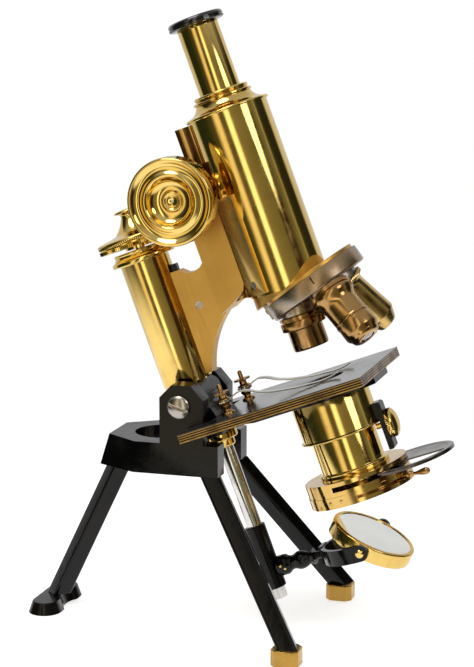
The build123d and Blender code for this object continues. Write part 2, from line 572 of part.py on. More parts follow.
def build_condenser():
    outer = CONDENSER_R
    parts["condenser_tube"] = LIMB * turned((18.5, -36), (outer, -36), (outer, -83.6), (22.4, -83.8),
                                            (22.4, IRIS_TOP), (18.5, IRIS_TOP))
    parts["condenser_lens"] = LIMB * turned((0, -46), (18.5, -46), (18.5, -43.4), (15.4, -40.6), (10.6, -38.4),
                                            (5.4, -37.2), (0, -36.8))
    upper = ring(IRIS_R, 16.0, IRIS_SPLIT, IRIS_TOP)
    upper -= disc(30.5, -92.2, -89.0) + block((-8, 60), (-60, 60), (-92.2, -89.0))
    upper += Pos(CARRIER_PIN_X, CARRIER_PIN_Y, 0) * disc(1.6 - RUN, -92.3, -88.9)
    parts["iris_housing"] = LIMB * upper
    lower = ring(IRIS_R + 0.4, 16.0, IRIS_BOTTOM, IRIS_SPLIT) - disc(27.8, -99.4, -97.3)
    gate = [polar(r, a) for r, a in ((20, -11), (50, -11), (70, -45), (50, -80), (20, -80))]
    lower -= extrude(Pos(0, 0, -99.4) * make_face(Polyline(*[(x, y, 0) for x, y in gate], close=True)), 2.1)
    parts["iris_base"] = LIMB * chamfer(lower.edges().group_by(Axis.Z)[0].sort_by(SortBy.LENGTH)[-1:], 0.8)
    parts["iris_leaves"] = LIMB * ring(24.2, 8.0, -99.4, -98.4)
    clip_ring = ring(27.6, 24.5, -99.25, -97.5)
    arm = block((26.5, 36), (-1.5, 1.5), (-99.25, -97.5))
    handle = along_x(turned((0, 35.5), (2.0, 35.8), (2.3, 37.0), (1.3, 38.4), (1.0, 40.0), (1.6, 43), (2.2, 46.0),
                            (2.1, 48.2), (1.3, 49.8), (0, 50.2)))
    parts["iris_lever"] = LIMB * (clip_ring + Rot(Z=-15) * (arm + Pos(0, 0, -98.4) * handle))
    carrier = Pos(CARRIER_X, 0, 0) * ring(CARRIER_R, 23.0, -91.7, -89.5)
    carrier += Pos(CARRIER_PIN_X, CARRIER_PIN_Y, 0) * disc(3.6, -91.7, -89.5)
    carrier -= Pos(CARRIER_X, 0, 0) * disc(25.0, -90.6, -89)
    parts["filter_carrier"] = LIMB * (carrier - Pos(CARRIER_PIN_X, CARRIER_PIN_Y, 0) * disc(1.6, -93, -88))
    stop = disc(25.0 - RUN, -90.6, -89.6) - block((-30, 30), (-30, -4), (-92, -88))
    parts["light_stop"] = LIMB * Pos(CARRIER_X, 0, 0) * stop
    tip = CONDENSER_R + 1.6  # backed off, so that the tube is free to slide
    screw = turned((0, tip), (1.9, tip), (1.9, 30.4), (8.4, 30.4), (9.1, 30.9),
                   (9.1, 33.4), (8.3, 34.4), (6.0, 35.6), (3.0, 36.3), (0, 36.5))
    parts["clamp_screw"] = LIMB * Pos(0, 0, -65.5) * along_x(screw)


# --- mirror ---

def mirror_sleeve():
    sleeve = turned((ROD_R + RUN, -145), (6.4, -145), (6.7, -144.4), (6.7, -103.6), (6.4, -103), (ROD_R + RUN, -103))
    return Pos(ROD_X, 0, 0) * sleeve


def mirror_arm():
    """Turned baluster off the sleeve, ending in the pin that the fork swivels on."""
    arm = turned((0, 2), (6.4, 2), (6.6, 8.0), (6.4, 12.6), (4.9, 14.6), (4.5, 17), (5.6, 20.0), (5.9, 22.4),
                 (5.3, 25.0), (4.0, 27.5), (4.4, 29.6), (5.2, 31.4), (2.5, 31.4), (2.5, 39.6), (0, 39.6))
    return Pos(ROD_X, 0, MIRROR_Z) * along_x(arm) - Pos(ROD_X, 0, 0) * disc(6.7, -160, -90)


def mirror_fork():
    """Half hoop from pivot to pivot, with a square boss bored for the arm's pin."""
    hoop = ring(32.0, 29.3, MIRROR_Z - 5, MIRROR_Z + 5) & block((-60, 0), (-60, 60), (-200, 0))
    hoop += block((-38.6 - MIRROR_X, -30.5), (-6, 6), (MIRROR_Z - 5.6, MIRROR_Z + 5.6)) - disc(29.3, -200, 0)
    hoop -= Pos(0, 0, MIRROR_Z) * along_x(disc(2.5 + RUN, -60, -20))
    for side in (-1, 1):
        eye = along_y(disc(5.0, 29.3, 32.0)) if side > 0 else along_y(disc(5.0, -32.0, -29.3))
        hoop += Pos(0, 0, MIRROR_Z) * eye
    hoop -= Pos(0, 0, MIRROR_Z) * along_y(disc(1.5, -40, 40))
    return Pos(MIRROR_X, 0, 0) * hoop


def pivot_screw(side):
    screw = turned((0, 25.6), (1.5, 25.6), (1.5, 32.0), (2.5, 32.0), (2.5, 32.8), (1.8, 33.4), (0, 33.6))
    screw -= Rot(Z=40) * block((-4, 4), (-0.4, 0.4), (33.0, 34))
    return Pos(MIRROR_X, 0, MIRROR_Z) * along_y(screw if side > 0 else Rot(X=180) * screw)


def build_mirror():
    here = LIMB * Pos(MIRROR_X, 0, MIRROR_Z) * Rot(Y=MIRROR_LEAN)
    parts["mirror_sleeve"] = LIMB * mirror_sleeve()
    parts["mirror_arm"] = LIMB * mirror_arm()
    parts["mirror_fork"] = LIMB * mirror_fork()
    parts["mirror_pivot_screws"] = LIMB * Compound([pivot_screw(side) for side in (-1, 1)])
    half = [(MIRROR_R, 0), (MIRROR_R, 4.4), (26.4, 5.0), (24.4, 5.0), (24.4, 4.4), (25.2, 4.4), (25.2, 0.4)]
    outline = half + [(0, 0.4), (0, -0.4)] + [(r, -z) for r, z in reversed(half[1:])]
    cell = turned(*outline) - along_y(disc(1.5 + RUN, -30, 30) - disc(25.4, -25.4, 25.4))
    parts["mirror_cell"] = here * cell
    flat_glass = disc(25.2, 0.4, 4.4)
    hollow_glass = turned((0, -0.4), (25.2, -0.4), (25.2, -4.4), (22.0, -4.1), (14.0, -3.0), (6.0, -2.4), (0, -2.3))
    parts["mirror_glasses"] = here * Compound([flat_glass, hollow_glass])


build_stand()
build_limb()
build_arm()
build_fine_focus()
build_coarse_focus()
build_body()
build_draw_tube()
build_turret()
build_condenser()
build_mirror()

os.makedirs("parts", exist_ok=True)
for name, shape in parts.items():
    export_step(Pos(-MIDDLE_X, 0, 0) * shape, f"parts/{name}.step")
print(len(parts), "sub-parts written")
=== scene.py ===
import json
import math

import bmesh
import bpy
from mathutils import Matrix, Vector


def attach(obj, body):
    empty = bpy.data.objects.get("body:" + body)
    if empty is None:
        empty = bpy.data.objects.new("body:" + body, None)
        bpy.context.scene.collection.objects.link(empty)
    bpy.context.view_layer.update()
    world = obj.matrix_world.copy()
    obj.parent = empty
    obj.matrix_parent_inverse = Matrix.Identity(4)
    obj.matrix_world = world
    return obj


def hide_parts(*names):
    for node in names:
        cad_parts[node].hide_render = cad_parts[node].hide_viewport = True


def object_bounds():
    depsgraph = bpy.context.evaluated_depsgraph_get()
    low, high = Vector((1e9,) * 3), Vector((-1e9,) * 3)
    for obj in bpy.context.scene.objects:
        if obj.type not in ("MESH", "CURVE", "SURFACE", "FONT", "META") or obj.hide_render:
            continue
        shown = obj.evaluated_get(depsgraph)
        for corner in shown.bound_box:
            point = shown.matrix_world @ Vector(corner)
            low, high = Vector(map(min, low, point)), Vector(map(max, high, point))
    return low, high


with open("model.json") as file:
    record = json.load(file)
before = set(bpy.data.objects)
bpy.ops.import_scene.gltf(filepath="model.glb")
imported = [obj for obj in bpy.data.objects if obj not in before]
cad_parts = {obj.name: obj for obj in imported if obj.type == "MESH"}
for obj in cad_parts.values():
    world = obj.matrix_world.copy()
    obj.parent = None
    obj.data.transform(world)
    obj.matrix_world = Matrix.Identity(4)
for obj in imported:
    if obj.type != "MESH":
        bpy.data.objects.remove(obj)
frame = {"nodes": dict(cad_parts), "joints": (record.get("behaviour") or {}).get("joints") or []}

cad_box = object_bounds()

# Tripod head: a black stoved casting, open at the front between two arms. Each arm carries a chamfered
# cheek for a trunnion. The cast arrises are rubbed soft under the enamel.


class Signal:
    """A socket that varies over a surface; sums on it become Math nodes."""

    def __init__(self, finish, socket):
        self.finish = finish
        self.socket = socket

    def _math(self, operation, first, second):
        return self.finish.node("ShaderNodeMath", {"operation": operation}, {0: first, 1: second})

    def __add__(self, other):
        return self._math("ADD", self, other)

    def __radd__(self, other):
        return self._math("ADD", other, self)

    def __sub__(self, other):
        return self._math("SUBTRACT", self, other)

    def __rsub__(self, other):
        return self._math("SUBTRACT", other, self)

    def __mul__(self, other):
        return self._math("MULTIPLY", self, other)

    def __rmul__(self, other):
        return self._math("MULTIPLY", other, self)

    def __gt__(self, other):
        return self._math("GREATER_THAN", self, other)


class Finish:
    """A surface finish, built up as one node tree."""

    def __init__(self, name, owner=None, **fixed):
        self.made = owner or bpy.data.materials.new(name)
        self.made.use_nodes = True
        self.tree = self.made.node_tree
        self.shader = self.tree.nodes.get("Principled BSDF")
        for words, value in fixed.items():
            self.shader.inputs[words.replace("_", " ")].default_value = value

    def node(self, kind, settings, values, output=0):
        made = self.tree.nodes.new(kind)
        stops = settings.pop("stops", None)
        for key, value in settings.items():
            setattr(made, key, value)
        if stops:
            while len(made.color_ramp.elements) < len(stops):
                made.color_ramp.elements.new(0.5)
            for element, (place, colour) in zip(made.color_ramp.elements, stops):
                element.position = place
                element.color = (*colour, 1)
        for key, value in values.items():
            if isinstance(value, Signal):
                self.tree.links.new(value.socket, made.inputs[key])
            else:
                made.inputs[key].default_value = value
        return Signal(self, made.outputs[output])

    def place(self, stretch=(1, 1, 1), along=None):
        """Object coordinates, turned to lie along a frame and stretched."""
        here = self.node("ShaderNodeTexCoord", {}, {}, "Object")
        if along is not None:
            here = self.node("ShaderNodeMapping", {"vector_type": "TEXTURE"}, {
                "Vector": here, "Location": along.translation, "Rotation": along.to_euler()})
        return self.node("ShaderNodeMapping", {}, {"Vector": here, "Scale": stretch})

    def noise(self, where, scale, detail=4.0, rough=0.5):
        return self.node("ShaderNodeTexNoise", {}, {
            "Vector": where, "Scale": scale, "Detail": detail, "Roughness": rough})

    def between(self, signal, low, high, start=0.0, end=1.0):
        """The part of a signal between two levels, spread from start to end."""
        return self.node("ShaderNodeMapRange", {"interpolation_type": "SMOOTHSTEP"}, {
            "Value": signal, "From Min": low, "From Max": high, "To Min": start, "To Max": end})

    def blend(self, share, first, second):
        paint = {"data_type": "RGBA", "blend_type": "MIX"}
        colours = [c if isinstance(c, Signal) else (*c, 1) for c in (first, second)]
        return self.node("ShaderNodeMix", paint, {0: share, 6: colours[0], 7: colours[1]}, 2)

    def relief(self, height, depth, strength=1.0):
        return self.node("ShaderNodeBump", {}, {"Height": height, "Distance": depth, "Strength": strength})

    def wear(self, colour=None, roughness=None, normal=None):
        for name, signal in (("Base Color", colour), ("Roughness", roughness), ("Normal", normal)):
            if signal is not None:
                self.tree.links.new(signal.socket, self.shader.inputs[name])
        return self.made


def enamelled(name):
    """Stoved black enamel on iron: deep gloss, faint flow marks, dust-dulled patches."""
    coat = Finish(name, Metallic=0.0, IOR=1.45, Specular_IOR_Level=0.24, Coat_Weight=0.06, Coat_Roughness=0.04)
    where = coat.place()
    cloud = coat.noise(where, 38, 5, 0.6)
    flow = coat.noise(where, 210, 2, 0.4)
    fleck = coat.between(coat.noise(where, 900, 2, 0.5), 0.68, 0.78)
    tone = coat.blend(coat.between(cloud, 0.35, 0.7), (0.001, 0.001, 0.0015), (0.004, 0.003, 0.002))
    tone = coat.blend(fleck * 0.5, tone, (0.04, 0.03, 0.025))
    return coat.wear(tone, coat.between(cloud, 0.3, 0.75, 0.10, 0.26) + fleck * 0.2,
                     coat.relief(flow, 0.00025, 0.5))


def smoothed(mesh, angle):
    """Rounds the shading over every edge that turns less than the angle."""
    for face in mesh.polygons:
        face.use_smooth = True
    mesh.set_sharp_from_angle(angle=math.radians(angle))


def show(thing, body, slot, finish, *nodes):
    """Puts a finished piece on its body in place of the CAD nodes it stands for."""
    bpy.context.scene.collection.objects.link(thing)
    thing.data.materials.clear()
    thing.data.materials.append(finish)
    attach(thing, body)
    if nodes:
        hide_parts(*nodes)
    return thing


def from_node(name, node, edge, body, slot, finish, turn=34):
    """The node's own shape with its flats joined up and its arrises eased by edge, in millimetres."""
    bm = bmesh.new()
    bm.from_mesh(frame["nodes"][node].data)
    bmesh.ops.remove_doubles(bm, verts=bm.verts, dist=2e-6)
    bmesh.ops.dissolve_limit(bm, angle_limit=math.radians(0.6), verts=bm.verts, edges=bm.edges)
    mesh = bpy.data.meshes.new(name)
    bm.to_mesh(mesh)
    bm.free()
    smoothed(mesh, turn)
    thing = bpy.data.objects.new(name, mesh)
    if edge:
        ease = thing.modifiers.new("eased", "BEVEL")
        ease.width = edge * 0.001
        ease.segments = 2
        ease.limit_method = "ANGLE"
        ease.angle_limit = math.radians(turn)
        ease.harden_normals = True
    return show(thing, body, slot, finish, node)


black = enamelled("black_enamel")
from_node("head_casting", "tripod_head", 0.7, "stand", "black_enamel", black)

# Legs: black rounded square bars with a tenon up into the head; the rear one ends in a black two-toed
# foot, the front ones in cast brass shoes with cut corners.
for node in ("rear_leg", "front_leg_right", "front_leg_left"):
    from_node(node + "_bar", node, 0.25, "stand", "black_enamel", black)
from_node("rear_foot_casting", "rear_foot", 0.6, "stand", "black_enamel", black)


def turning(name, colour, stain, along=None, rough=(0.10, 0.24), lines=0.25, fine=2600, dull=0.55):
    """Lathe-turned, lacquered brass: ring marks round the axis, tea-coloured stain, pin-prick spots."""
    brass = Finish(name, Metallic=1.0, IOR=1.45)
    where = brass.place(along=along)
    rings = brass.noise(brass.place((18, 18, fine), along), 1.0, 2, 0.5)
    cloud = brass.noise(where, 30, 6, 0.62)
    patch = brass.noise(where, 130, 5, 0.55)
    spots = brass.between(brass.noise(where, 700, 3, 0.6), 0.70, 0.80)
    tone = brass.blend(brass.between(cloud, 0.38, 0.72) * dull, colour, stain)
    tone = brass.blend(brass.between(patch, 0.55, 0.8) * 0.25, tone, stain)
    tone = brass.blend(spots * 0.6, tone, (0.12, 0.07, 0.025))
    shine = brass.between(patch, 0.3, 0.75, *rough) + spots * 0.25 + brass.between(rings, 0.4, 0.9) * 0.04
    return brass.wear(tone, shine, brass.relief(rings, 0.00002, lines))


GOLD, TEA = (0.77, 0.55, 0.17), (0.52, 0.31, 0.07)
shoe_brass = turning("cast_brass", (0.46, 0.27, 0.06), (0.28, 0.15, 0.03), None, (0.16, 0.32), 0.1)
from_node("shoe_castings", "front_shoes", 0.5, "stand", "brass", shoe_brass)


def steel(name, tone, along=None, rough=(0.10, 0.22), stretch=(30, 30, 900)):
    """Bright steel: fine grinding lines, a breath of grey bloom and a few rust-brown pricks."""
    bright = Finish(name, Metallic=1.0)
    where = bright.place(along=along)
    grind = bright.noise(bright.place(stretch, along), 1.0, 2, 0.5)
    bloom = bright.noise(where, 60, 5, 0.6)
    pricks = bright.between(bright.noise(where, 1200, 2, 0.5), 0.72, 0.8)
    darker = tuple(0.62 * c for c in tone)
    colour = bright.blend(bright.between(bloom, 0.35, 0.75) * 0.5, tone, darker)
    colour = bright.blend(pricks * 0.7, colour, (0.12, 0.07, 0.04))
    return bright.wear(colour, bright.between(bloom, 0.3, 0.8, *rough) + pricks * 0.3,
                       bright.relief(grind, 0.00001, 0.35))


# Trunnion screws: bright steel, domed and slotted, through the cheeks into the limb's joint block.
screw_steel = steel("screw_steel", (0.46, 0.42, 0.38), None, (0.2, 0.34), (200, 200, 200))
from_node("trunnion_screw_pair", "trunnion_screws", 0.12, "stand", "steel", screw_steel)

# Joint block, stage bracket and the condenser's guide bar: black enamelled iron of the tilting limb.
# From here on sizes are in millimetres from the optical axis: x forward, z up along the tube.
joint = {j["name"]: j for j in frame["joints"]}
UP_TUBE = Vector(joint["draw_tube_slide"]["axis"])
AHEAD = Vector((0, 1, 0)).cross(UP_TUBE)
LIMB = Matrix((AHEAD, (0, 1, 0), UP_TUBE)).transposed().to_4x4()
LIMB.translation = Vector(joint["iris_lever_turn"]["pos_m"]) + 0.0984 * UP_TUBE
from_node("joint_casting", "joint_block", 0.5, "limb", "black_enamel", black)
from_node("bracket_casting", "stage_bracket", 0.4, "limb", "black_enamel", black)
from_node("guide_bar", "substage_guide", 0.25, "limb", "black_enamel", black)

# Stage: three brass plates and a base riveted into one, the joints left as dark lines round its edge.
# Its top is ground flat and blacked, then polished until it mirrors what stands behind it.


def ground_black(name):
    """Blacked, lapped metal: near-black, very smooth, with hairline scratches and rubbed grey patches."""
    lap = Finish(name, Metallic=0.0, IOR=1.5, Specular_IOR_Level=0.5)
    where = lap.place(along=LIMB)
    scratch = lap.noise(lap.place((900, 60, 20), LIMB), 1.0, 3, 0.6)
    rub = lap.noise(where, 26, 5, 0.6)
    tone = lap.blend(lap.between(rub, 0.4, 0.75), (0.018, 0.018, 0.021), (0.07, 0.068, 0.066))
    tone = lap.blend(lap.between(scratch, 0.66, 0.8) * 0.5, tone, (0.16, 0.15, 0.14))
    return lap.wear(tone, lap.between(rub, 0.3, 0.8, 0.10, 0.24), lap.relief(scratch, 0.00001, 0.3))




def banded(name):
    """Four brass plates face to face: a painted highlight along each plate's edge, black where two meet."""
    pile = Finish(name, Metallic=1.0)
    where = pile.place(along=LIMB)
    height = pile.node("ShaderNodeSeparateXYZ", {}, {0: where}, "Z")
    level = pile.node("ShaderNodeMapRange", {}, {"Value": height, "From Min": -0.0334, "From Max": -0.0274})
    # The bright bands are painted highlights along each plate's edge; the black between them is the joints.
    bright, joint_black = (0.40, 0.25, 0.09), (0.02, 0.014, 0.009)
    stops = [(0.0, joint_black)]
    for low, high in ((0.05, 0.17), (0.33, 0.40), (0.57, 0.64), (0.80, 0.87)):
        stops += [(low - 0.02, joint_black), (low, bright), (high, bright), (high + 0.02, joint_black)]
    bands_with_painted_highlights = pile.node("ShaderNodeValToRGB", {"stops": stops}, {0: level})
    stain = pile.noise(where, 90, 5, 0.6)
    scuff = pile.noise(pile.place((60, 60, 3000), LIMB), 1.0, 3, 0.6)
    tone = pile.blend(pile.between(stain, 0.4, 0.75) * 0.7, bands_with_painted_highlights, (0.05, 0.03, 0.015))
    return pile.wear(tone, pile.between(stain, 0.3, 0.8, 0.26, 0.42), pile.relief(scuff, 0.00004, 0.4))


from_node("stage_plates", "stage_plate", 0.1, "limb", "brass", banded("stage_edge_brass"))
from_node("stage_top", "stage_face", 0.15, "limb", "stage_black", ground_black("stage_black"))

# Tail rod and its collar: a bright steel rod hung from the joint block in a stepped brass collar.


def turned(profile, steps=96, start=0.0, sweep=360.0):
    """Spins an outline of (radius, height) points round z. A closed outline repeats its first point."""
    bm = bmesh.new()
    points = [bm.verts.new((r, 0, z)) for r, z in profile]
    if profile[0] == profile[-1]:
        bm.verts.remove(points.pop())
        points.append(points[0])
    edges = [bm.edges.new(pair) for pair in zip(points, points[1:])]
    whole = sweep >= 360
    if not whole:
        bm.faces.new(points[:-1])
    turn = Matrix.Rotation(math.radians(start), 3, "Z")
    bmesh.ops.rotate(bm, verts=bm.verts, cent=(0, 0, 0), matrix=turn)
    count = steps if whole else max(6, round(steps * sweep / 360))
    ring = bmesh.ops.spin(bm, geom=bm.verts[:] + edges, cent=(0, 0, 0), axis=(0, 0, 1),
                          angle=math.radians(sweep), steps=count, use_merge=whole)
    if not whole:
        last = [e for e in ring["geom_last"] if isinstance(e, bmesh.types.BMEdge)]
        bmesh.ops.contextual_create(bm, geom=last)
    bmesh.ops.remove_doubles(bm, verts=bm.verts, dist=1e-4)
    bmesh.ops.recalc_face_normals(bm, faces=bm.faces)
    return bm


def eased(bm, width, segments=2, turn=24):
    """Takes the sharpness off every edge that turns more than an angle."""
    sharp = [e for e in bm.edges if len(e.link_faces) == 2 and e.calc_face_angle() > math.radians(turn)]
    bmesh.ops.bevel(bm, geom=sharp, offset=width, segments=segments, profile=0.5, affect="EDGES",
                    material=-1, clamp_overlap=True)
    return bm


def fitted(name, shapes, where, body, slot, finish, *nodes, turn=38):
    """Joins shapes made in millimetres into one piece, set in a frame."""
    whole = bmesh.new()
    for shape in shapes:
        part = bpy.data.meshes.new("part")
        shape.to_mesh(part)
        whole.from_mesh(part)
        shape.free()
        bpy.data.meshes.remove(part)
    bmesh.ops.transform(whole, verts=whole.verts, matrix=where @ Matrix.Scale(0.001, 4))
    mesh = bpy.data.meshes.new(name)
    whole.to_mesh(mesh)
    whole.free()
    smoothed(mesh, turn)
    return show(bpy.data.objects.new(name, mesh), body, slot, finish, *nodes)


def at(x=0.0, y=0.0, z=0.0):
    return Matrix.Translation((x, y, z))


def move(bm, matrix):
    bmesh.ops.transform(bm, verts=bm.verts, matrix=matrix)
    return bm


def limb_at(x, y, z):
    """A frame beside the optical axis, for places given in millimetres."""
    return LIMB @ Matrix.Translation((x * 0.001, y * 0.001, z * 0.001))


ROD = limb_at(-76, 0, 0)
rod_steel = steel("rod_steel", (0.66, 0.64, 0.62), ROD, (0.16, 0.28))
rod = eased(turned([(0, -28), (5, -28), (5, -152), (0, -152)], 64), 0.5)
fitted("tail_rod_bar", [rod], ROD, "tail_rod", "steel", rod_steel, "tail_rod")

brass = turning("turned_brass", GOLD, TEA, LIMB, (0.06, 0.13), 0.12)
collar = turned([(5.05, -39.3), (10.2, -39.3), (10.2, -43.9), (9.2, -44.5), (7.2, -44.7), (7.0, -48.5),
                 (6.2, -49.3), (5.05, -49.3), (5.05, -39.3)], 72)
fitted("rod_collar", [eased(collar, 0.25)], ROD, "limb", "brass", brass, "tail_rod_collar")

# Condenser sleeve: a short brass tube soldered up under the stage bracket, with a bead round its mouth.
sleeve = turned([(20.55, -37.7), (25, -37.7), (25, -61.0), (26.3, -61.3), (26.5, -61.9), (26.3, -62.4),
                 (24.4, -62.9), (20.55, -62.9), (20.55, -37.7)], 128)
fitted("condenser_sleeve", [eased(sleeve, 0.15)], LIMB, "limb", "brass", brass, "substage_sleeve")

# Clip posts: two little turned brass pillars screwed through the stage, with a waist, a ball, a milled
# clamping disc over the clip's eye and a thin pin on top.


def milled(bm, radius, low, high, depth):
    """Sinks every other flute into a rim that was spun with two steps to a tooth."""
    for vert in bm.verts:
        across = math.hypot(vert.co.x, vert.co.y)
        if low <= vert.co.z <= high and across > radius - 0.6:
            tooth = round(math.atan2(vert.co.y, vert.co.x) / (2 * math.pi) * milled.steps)
            if tooth % 2:
                vert.co.xy *= 1 - depth / across
    return bm


post_lines = [(0, -35.8), (4.0, -35.8), (4.0, -33.4), (2.0, -33.4), (2.0, -27.4), (4.2, -27.4), (4.2, -26.5),
              (2.3, -25.5), (2.1, -24.5), (3.0, -23.6), (3.6, -22.4), (3.4, -21.8), (2.6, -21.2), (4.6, -20.5),
              (4.6, -19.9), (2.6, -19.9), (2.6, -18.7), (4.4, -18.7), (4.4, -18.1), (2.4, -17.2), (2.4, -15.0),
              (5.3, -14.6), (5.3, -13.4), (1.4, -13.0), (1.4, -9.1), (0.9, -8.2), (0, -8.2)]
posts = []
milled.steps = 64
for y in (-21.8, 21.8):
    post = milled(turned(post_lines, milled.steps), 5.3, -14.7, -13.3, 0.25)
    posts.append(move(eased(post, 0.08, 1, 50), at(-58.4, y)))
post_brass = turning("post_brass", (0.46, 0.28, 0.11), (0.24, 0.13, 0.05), LIMB, (0.18, 0.34))
fitted("clip_post_pair", posts, LIMB, "limb", "brass", post_brass, "clip_posts")

# Stage clips: spring steel strips, each with an eye round its post, a hump where the finger presses,
# and a long droop that ends in an upturned tip on the slide.
clip_steel = steel("clip_steel", (0.58, 0.57, 0.55), LIMB, (0.14, 0.28), (400, 400, 400))
clip_line = [(3.6, -19.8), (9.5, -17.2), (13, -17.1), (24, -21.6), (38, -24.8), (55, -26.6), (66, -26.7), (73, -25.2)]
for name, side, swing in (("right", -1, 9), ("left", 1, -1)):
    strip = bmesh.new()
    edge = [strip.verts.new((clip_line[0][0], y, clip_line[0][1])) for y in (-2.7, 2.7)]
    rung = [strip.edges.new(edge)]
    for (x0, z0), (x1, z1) in zip(clip_line, clip_line[1:]):
        grown = bmesh.ops.extrude_edge_only(strip, edges=rung)["geom"]
        rung = [e for e in grown if isinstance(e, bmesh.types.BMEdge) and all(v in grown for v in e.verts)
                and abs(e.verts[0].co.y - e.verts[1].co.y) > 1]
        tops = [v for v in grown if isinstance(v, bmesh.types.BMVert)]
        bmesh.ops.translate(strip, verts=tops, vec=(x1 - x0, 0, z1 - z0))
        bmesh.ops.scale(strip, verts=tops, vec=(1, 0.97, 1))
    bmesh.ops.subdivide_edges(strip, edges=strip.edges, cuts=3, smooth=0.9, use_grid_fill=True)
    bmesh.ops.recalc_face_normals(strip, faces=strip.faces)
    bmesh.ops.solidify(strip, geom=strip.faces[:], thickness=0.75)
    eye = turned([(2.65, -19.8), (4.9, -19.8), (4.9, -19.05), (2.65, -19.05), (2.65, -19.8)], 48)
    here = at(-58.4, side * 21.8) @ Matrix.Rotation(math.radians(swing), 4, "Z")
    fitted("clip_" + name + "_spring", [move(strip, here), move(eye, here)], LIMB, "clip_" + name, "steel",
           clip_steel, "stage_clip_" + name)

# Pillar: the brass tube that slides on the limb's core for fine focus, with a moulded cap ring on top.
PILLAR = limb_at(-84.7, 0, 0)
pillar_brass = turning("pillar_brass", GOLD, TEA, PILLAR, (0.06, 0.14), 0.12)
pillar = turned([(12.4, -2.6), (15.8, -2.6), (15.8, 78.9), (16.2, 79.3), (20.2, 79.3), (20.5, 79.7), (20.5, 81.4),
                 (20.2, 81.9), (19.2, 82.4), (18.2, 83.3), (17.6, 84.4), (17.4, 85.2), (17.7, 86.0), (17.5, 86.6),
                 (17.0, 86.9), (3.1, 86.9), (3.1, 75.5), (12.4, 75.5), (12.4, -2.6)], 128)
fitted("pillar_tube", [eased(pillar, 0.12)], PILLAR, "arm", "brass", pillar_brass, "pillar_sleeve")
core = eased(turned([(0, -4.3), (12.35, -4.3), (12.35, 57), (0, 57)], 96), 0.4)
fitted("pillar_guide", [core], PILLAR, "limb", "brass", pillar_brass, "pillar_core")

# Fine-focus spring, micrometer screw, rack and pinion: the works, in steel, mostly out of sight.
works = steel("works_steel", (0.50, 0.49, 0.47), LIMB, (0.22, 0.4), (500, 500, 500))
for node in ("fine_focus_spring", "micrometer_screw", "rack", "pinion"):
    frame["nodes"][node].data.materials.clear()
    frame["nodes"][node].data.materials.append(works)

# Arm: one gunmetal casting, filed flat and draw-grained along the tube, lacquered a pale gold. Its thin
# web springs from the pillar and swells into the housing for the tube's slide and the pinion.


def grained(name, colour, stain):
    """Draw-filed and lacquered: long fine grain up the arm, soft satin shine, faint handling stains, and the housing's
    near face darker than the web.
    """
    satin = Finish(name, Metallic=1.0, IOR=1.45)
    grain = satin.noise(satin.place((2600, 2600, 26), LIMB), 1.0, 3, 0.55)
    where = satin.place(along=LIMB)
    cloud = satin.noise(where, 24, 5, 0.6)
    streak = satin.noise(satin.place((420, 420, 8), LIMB), 1.0, 2, 0.5)
    spots = satin.between(satin.noise(where, 500, 3, 0.6), 0.72, 0.8)
    tone = satin.blend(satin.between(cloud, 0.35, 0.75) * 0.6, colour, stain)
    tone = satin.blend(satin.between(streak, 0.5, 0.8) * 0.3, tone, stain)
    tone = satin.blend(spots * 0.4, tone, (0.16, 0.09, 0.03))
    # The near face of the housing, more than 9 mm out from the axis, is coloured darker than the thin web.
    across = satin.node("ShaderNodeSeparateXYZ", {}, {0: where}, "Y")
    tone = satin.blend(satin.between(across, -0.009, -0.007, 0.35, 0.0), tone, stain)
    shine = satin.between(cloud, 0.3, 0.8, 0.30, 0.40) + satin.between(grain, 0.3, 0.8) * 0.08
    return satin.wear(tone, shine, satin.relief(grain, 0.00003, 0.4))


satin_brass = grained("grained_brass", (0.66, 0.40, 0.11), (0.50, 0.28, 0.06))
from_node("arm_casting", "arm_plate", 0.45, "arm", "brass_satin", satin_brass)
from_node("arm_fixing_screw", "arm_screw", 0.1, "arm", "steel", screw_steel)
from_node("arm_stop_block", "arm_stop", 0.3, "arm", "black_enamel", black)

# Fine-focus head: a wide brass wheel with two milled rims and a drawn-up finial, on the micrometer screw.
milled.steps = 240
head = turned([(0, 87.6), (9, 87.6), (9, 89.5), (24.4, 89.5), (25.3, 90), (25.3, 92.0), (24.5, 92.4), (24.5, 92.9),
               (25.3, 93.2), (25.3, 95.2), (24.6, 95.9), (23.0, 96.4), (17.6, 97.3), (12.9, 98.2), (11.6, 98.9),
               (10.8, 99.8), (9.6, 101.0), (8.3, 102.6), (7.0, 104.6), (5.8, 106.8), (5.1, 108.4), (4.9, 109.4),
               (5.3, 110.3), (6.4, 110.8), (8.3, 111.1), (8.5, 111.7), (8.2, 112.3), (7.2, 112.7), (4.0, 113.1),
               (0, 113.2)], milled.steps)
milled(head, 25.3, 89.9, 92.1, 0.35)
milled(head, 25.3, 93.1, 95.3, 0.35)
fitted("fine_focus_wheel", [head], PILLAR, "fine_head", "brass", pillar_brass, "fine_focus_head", turn=50)

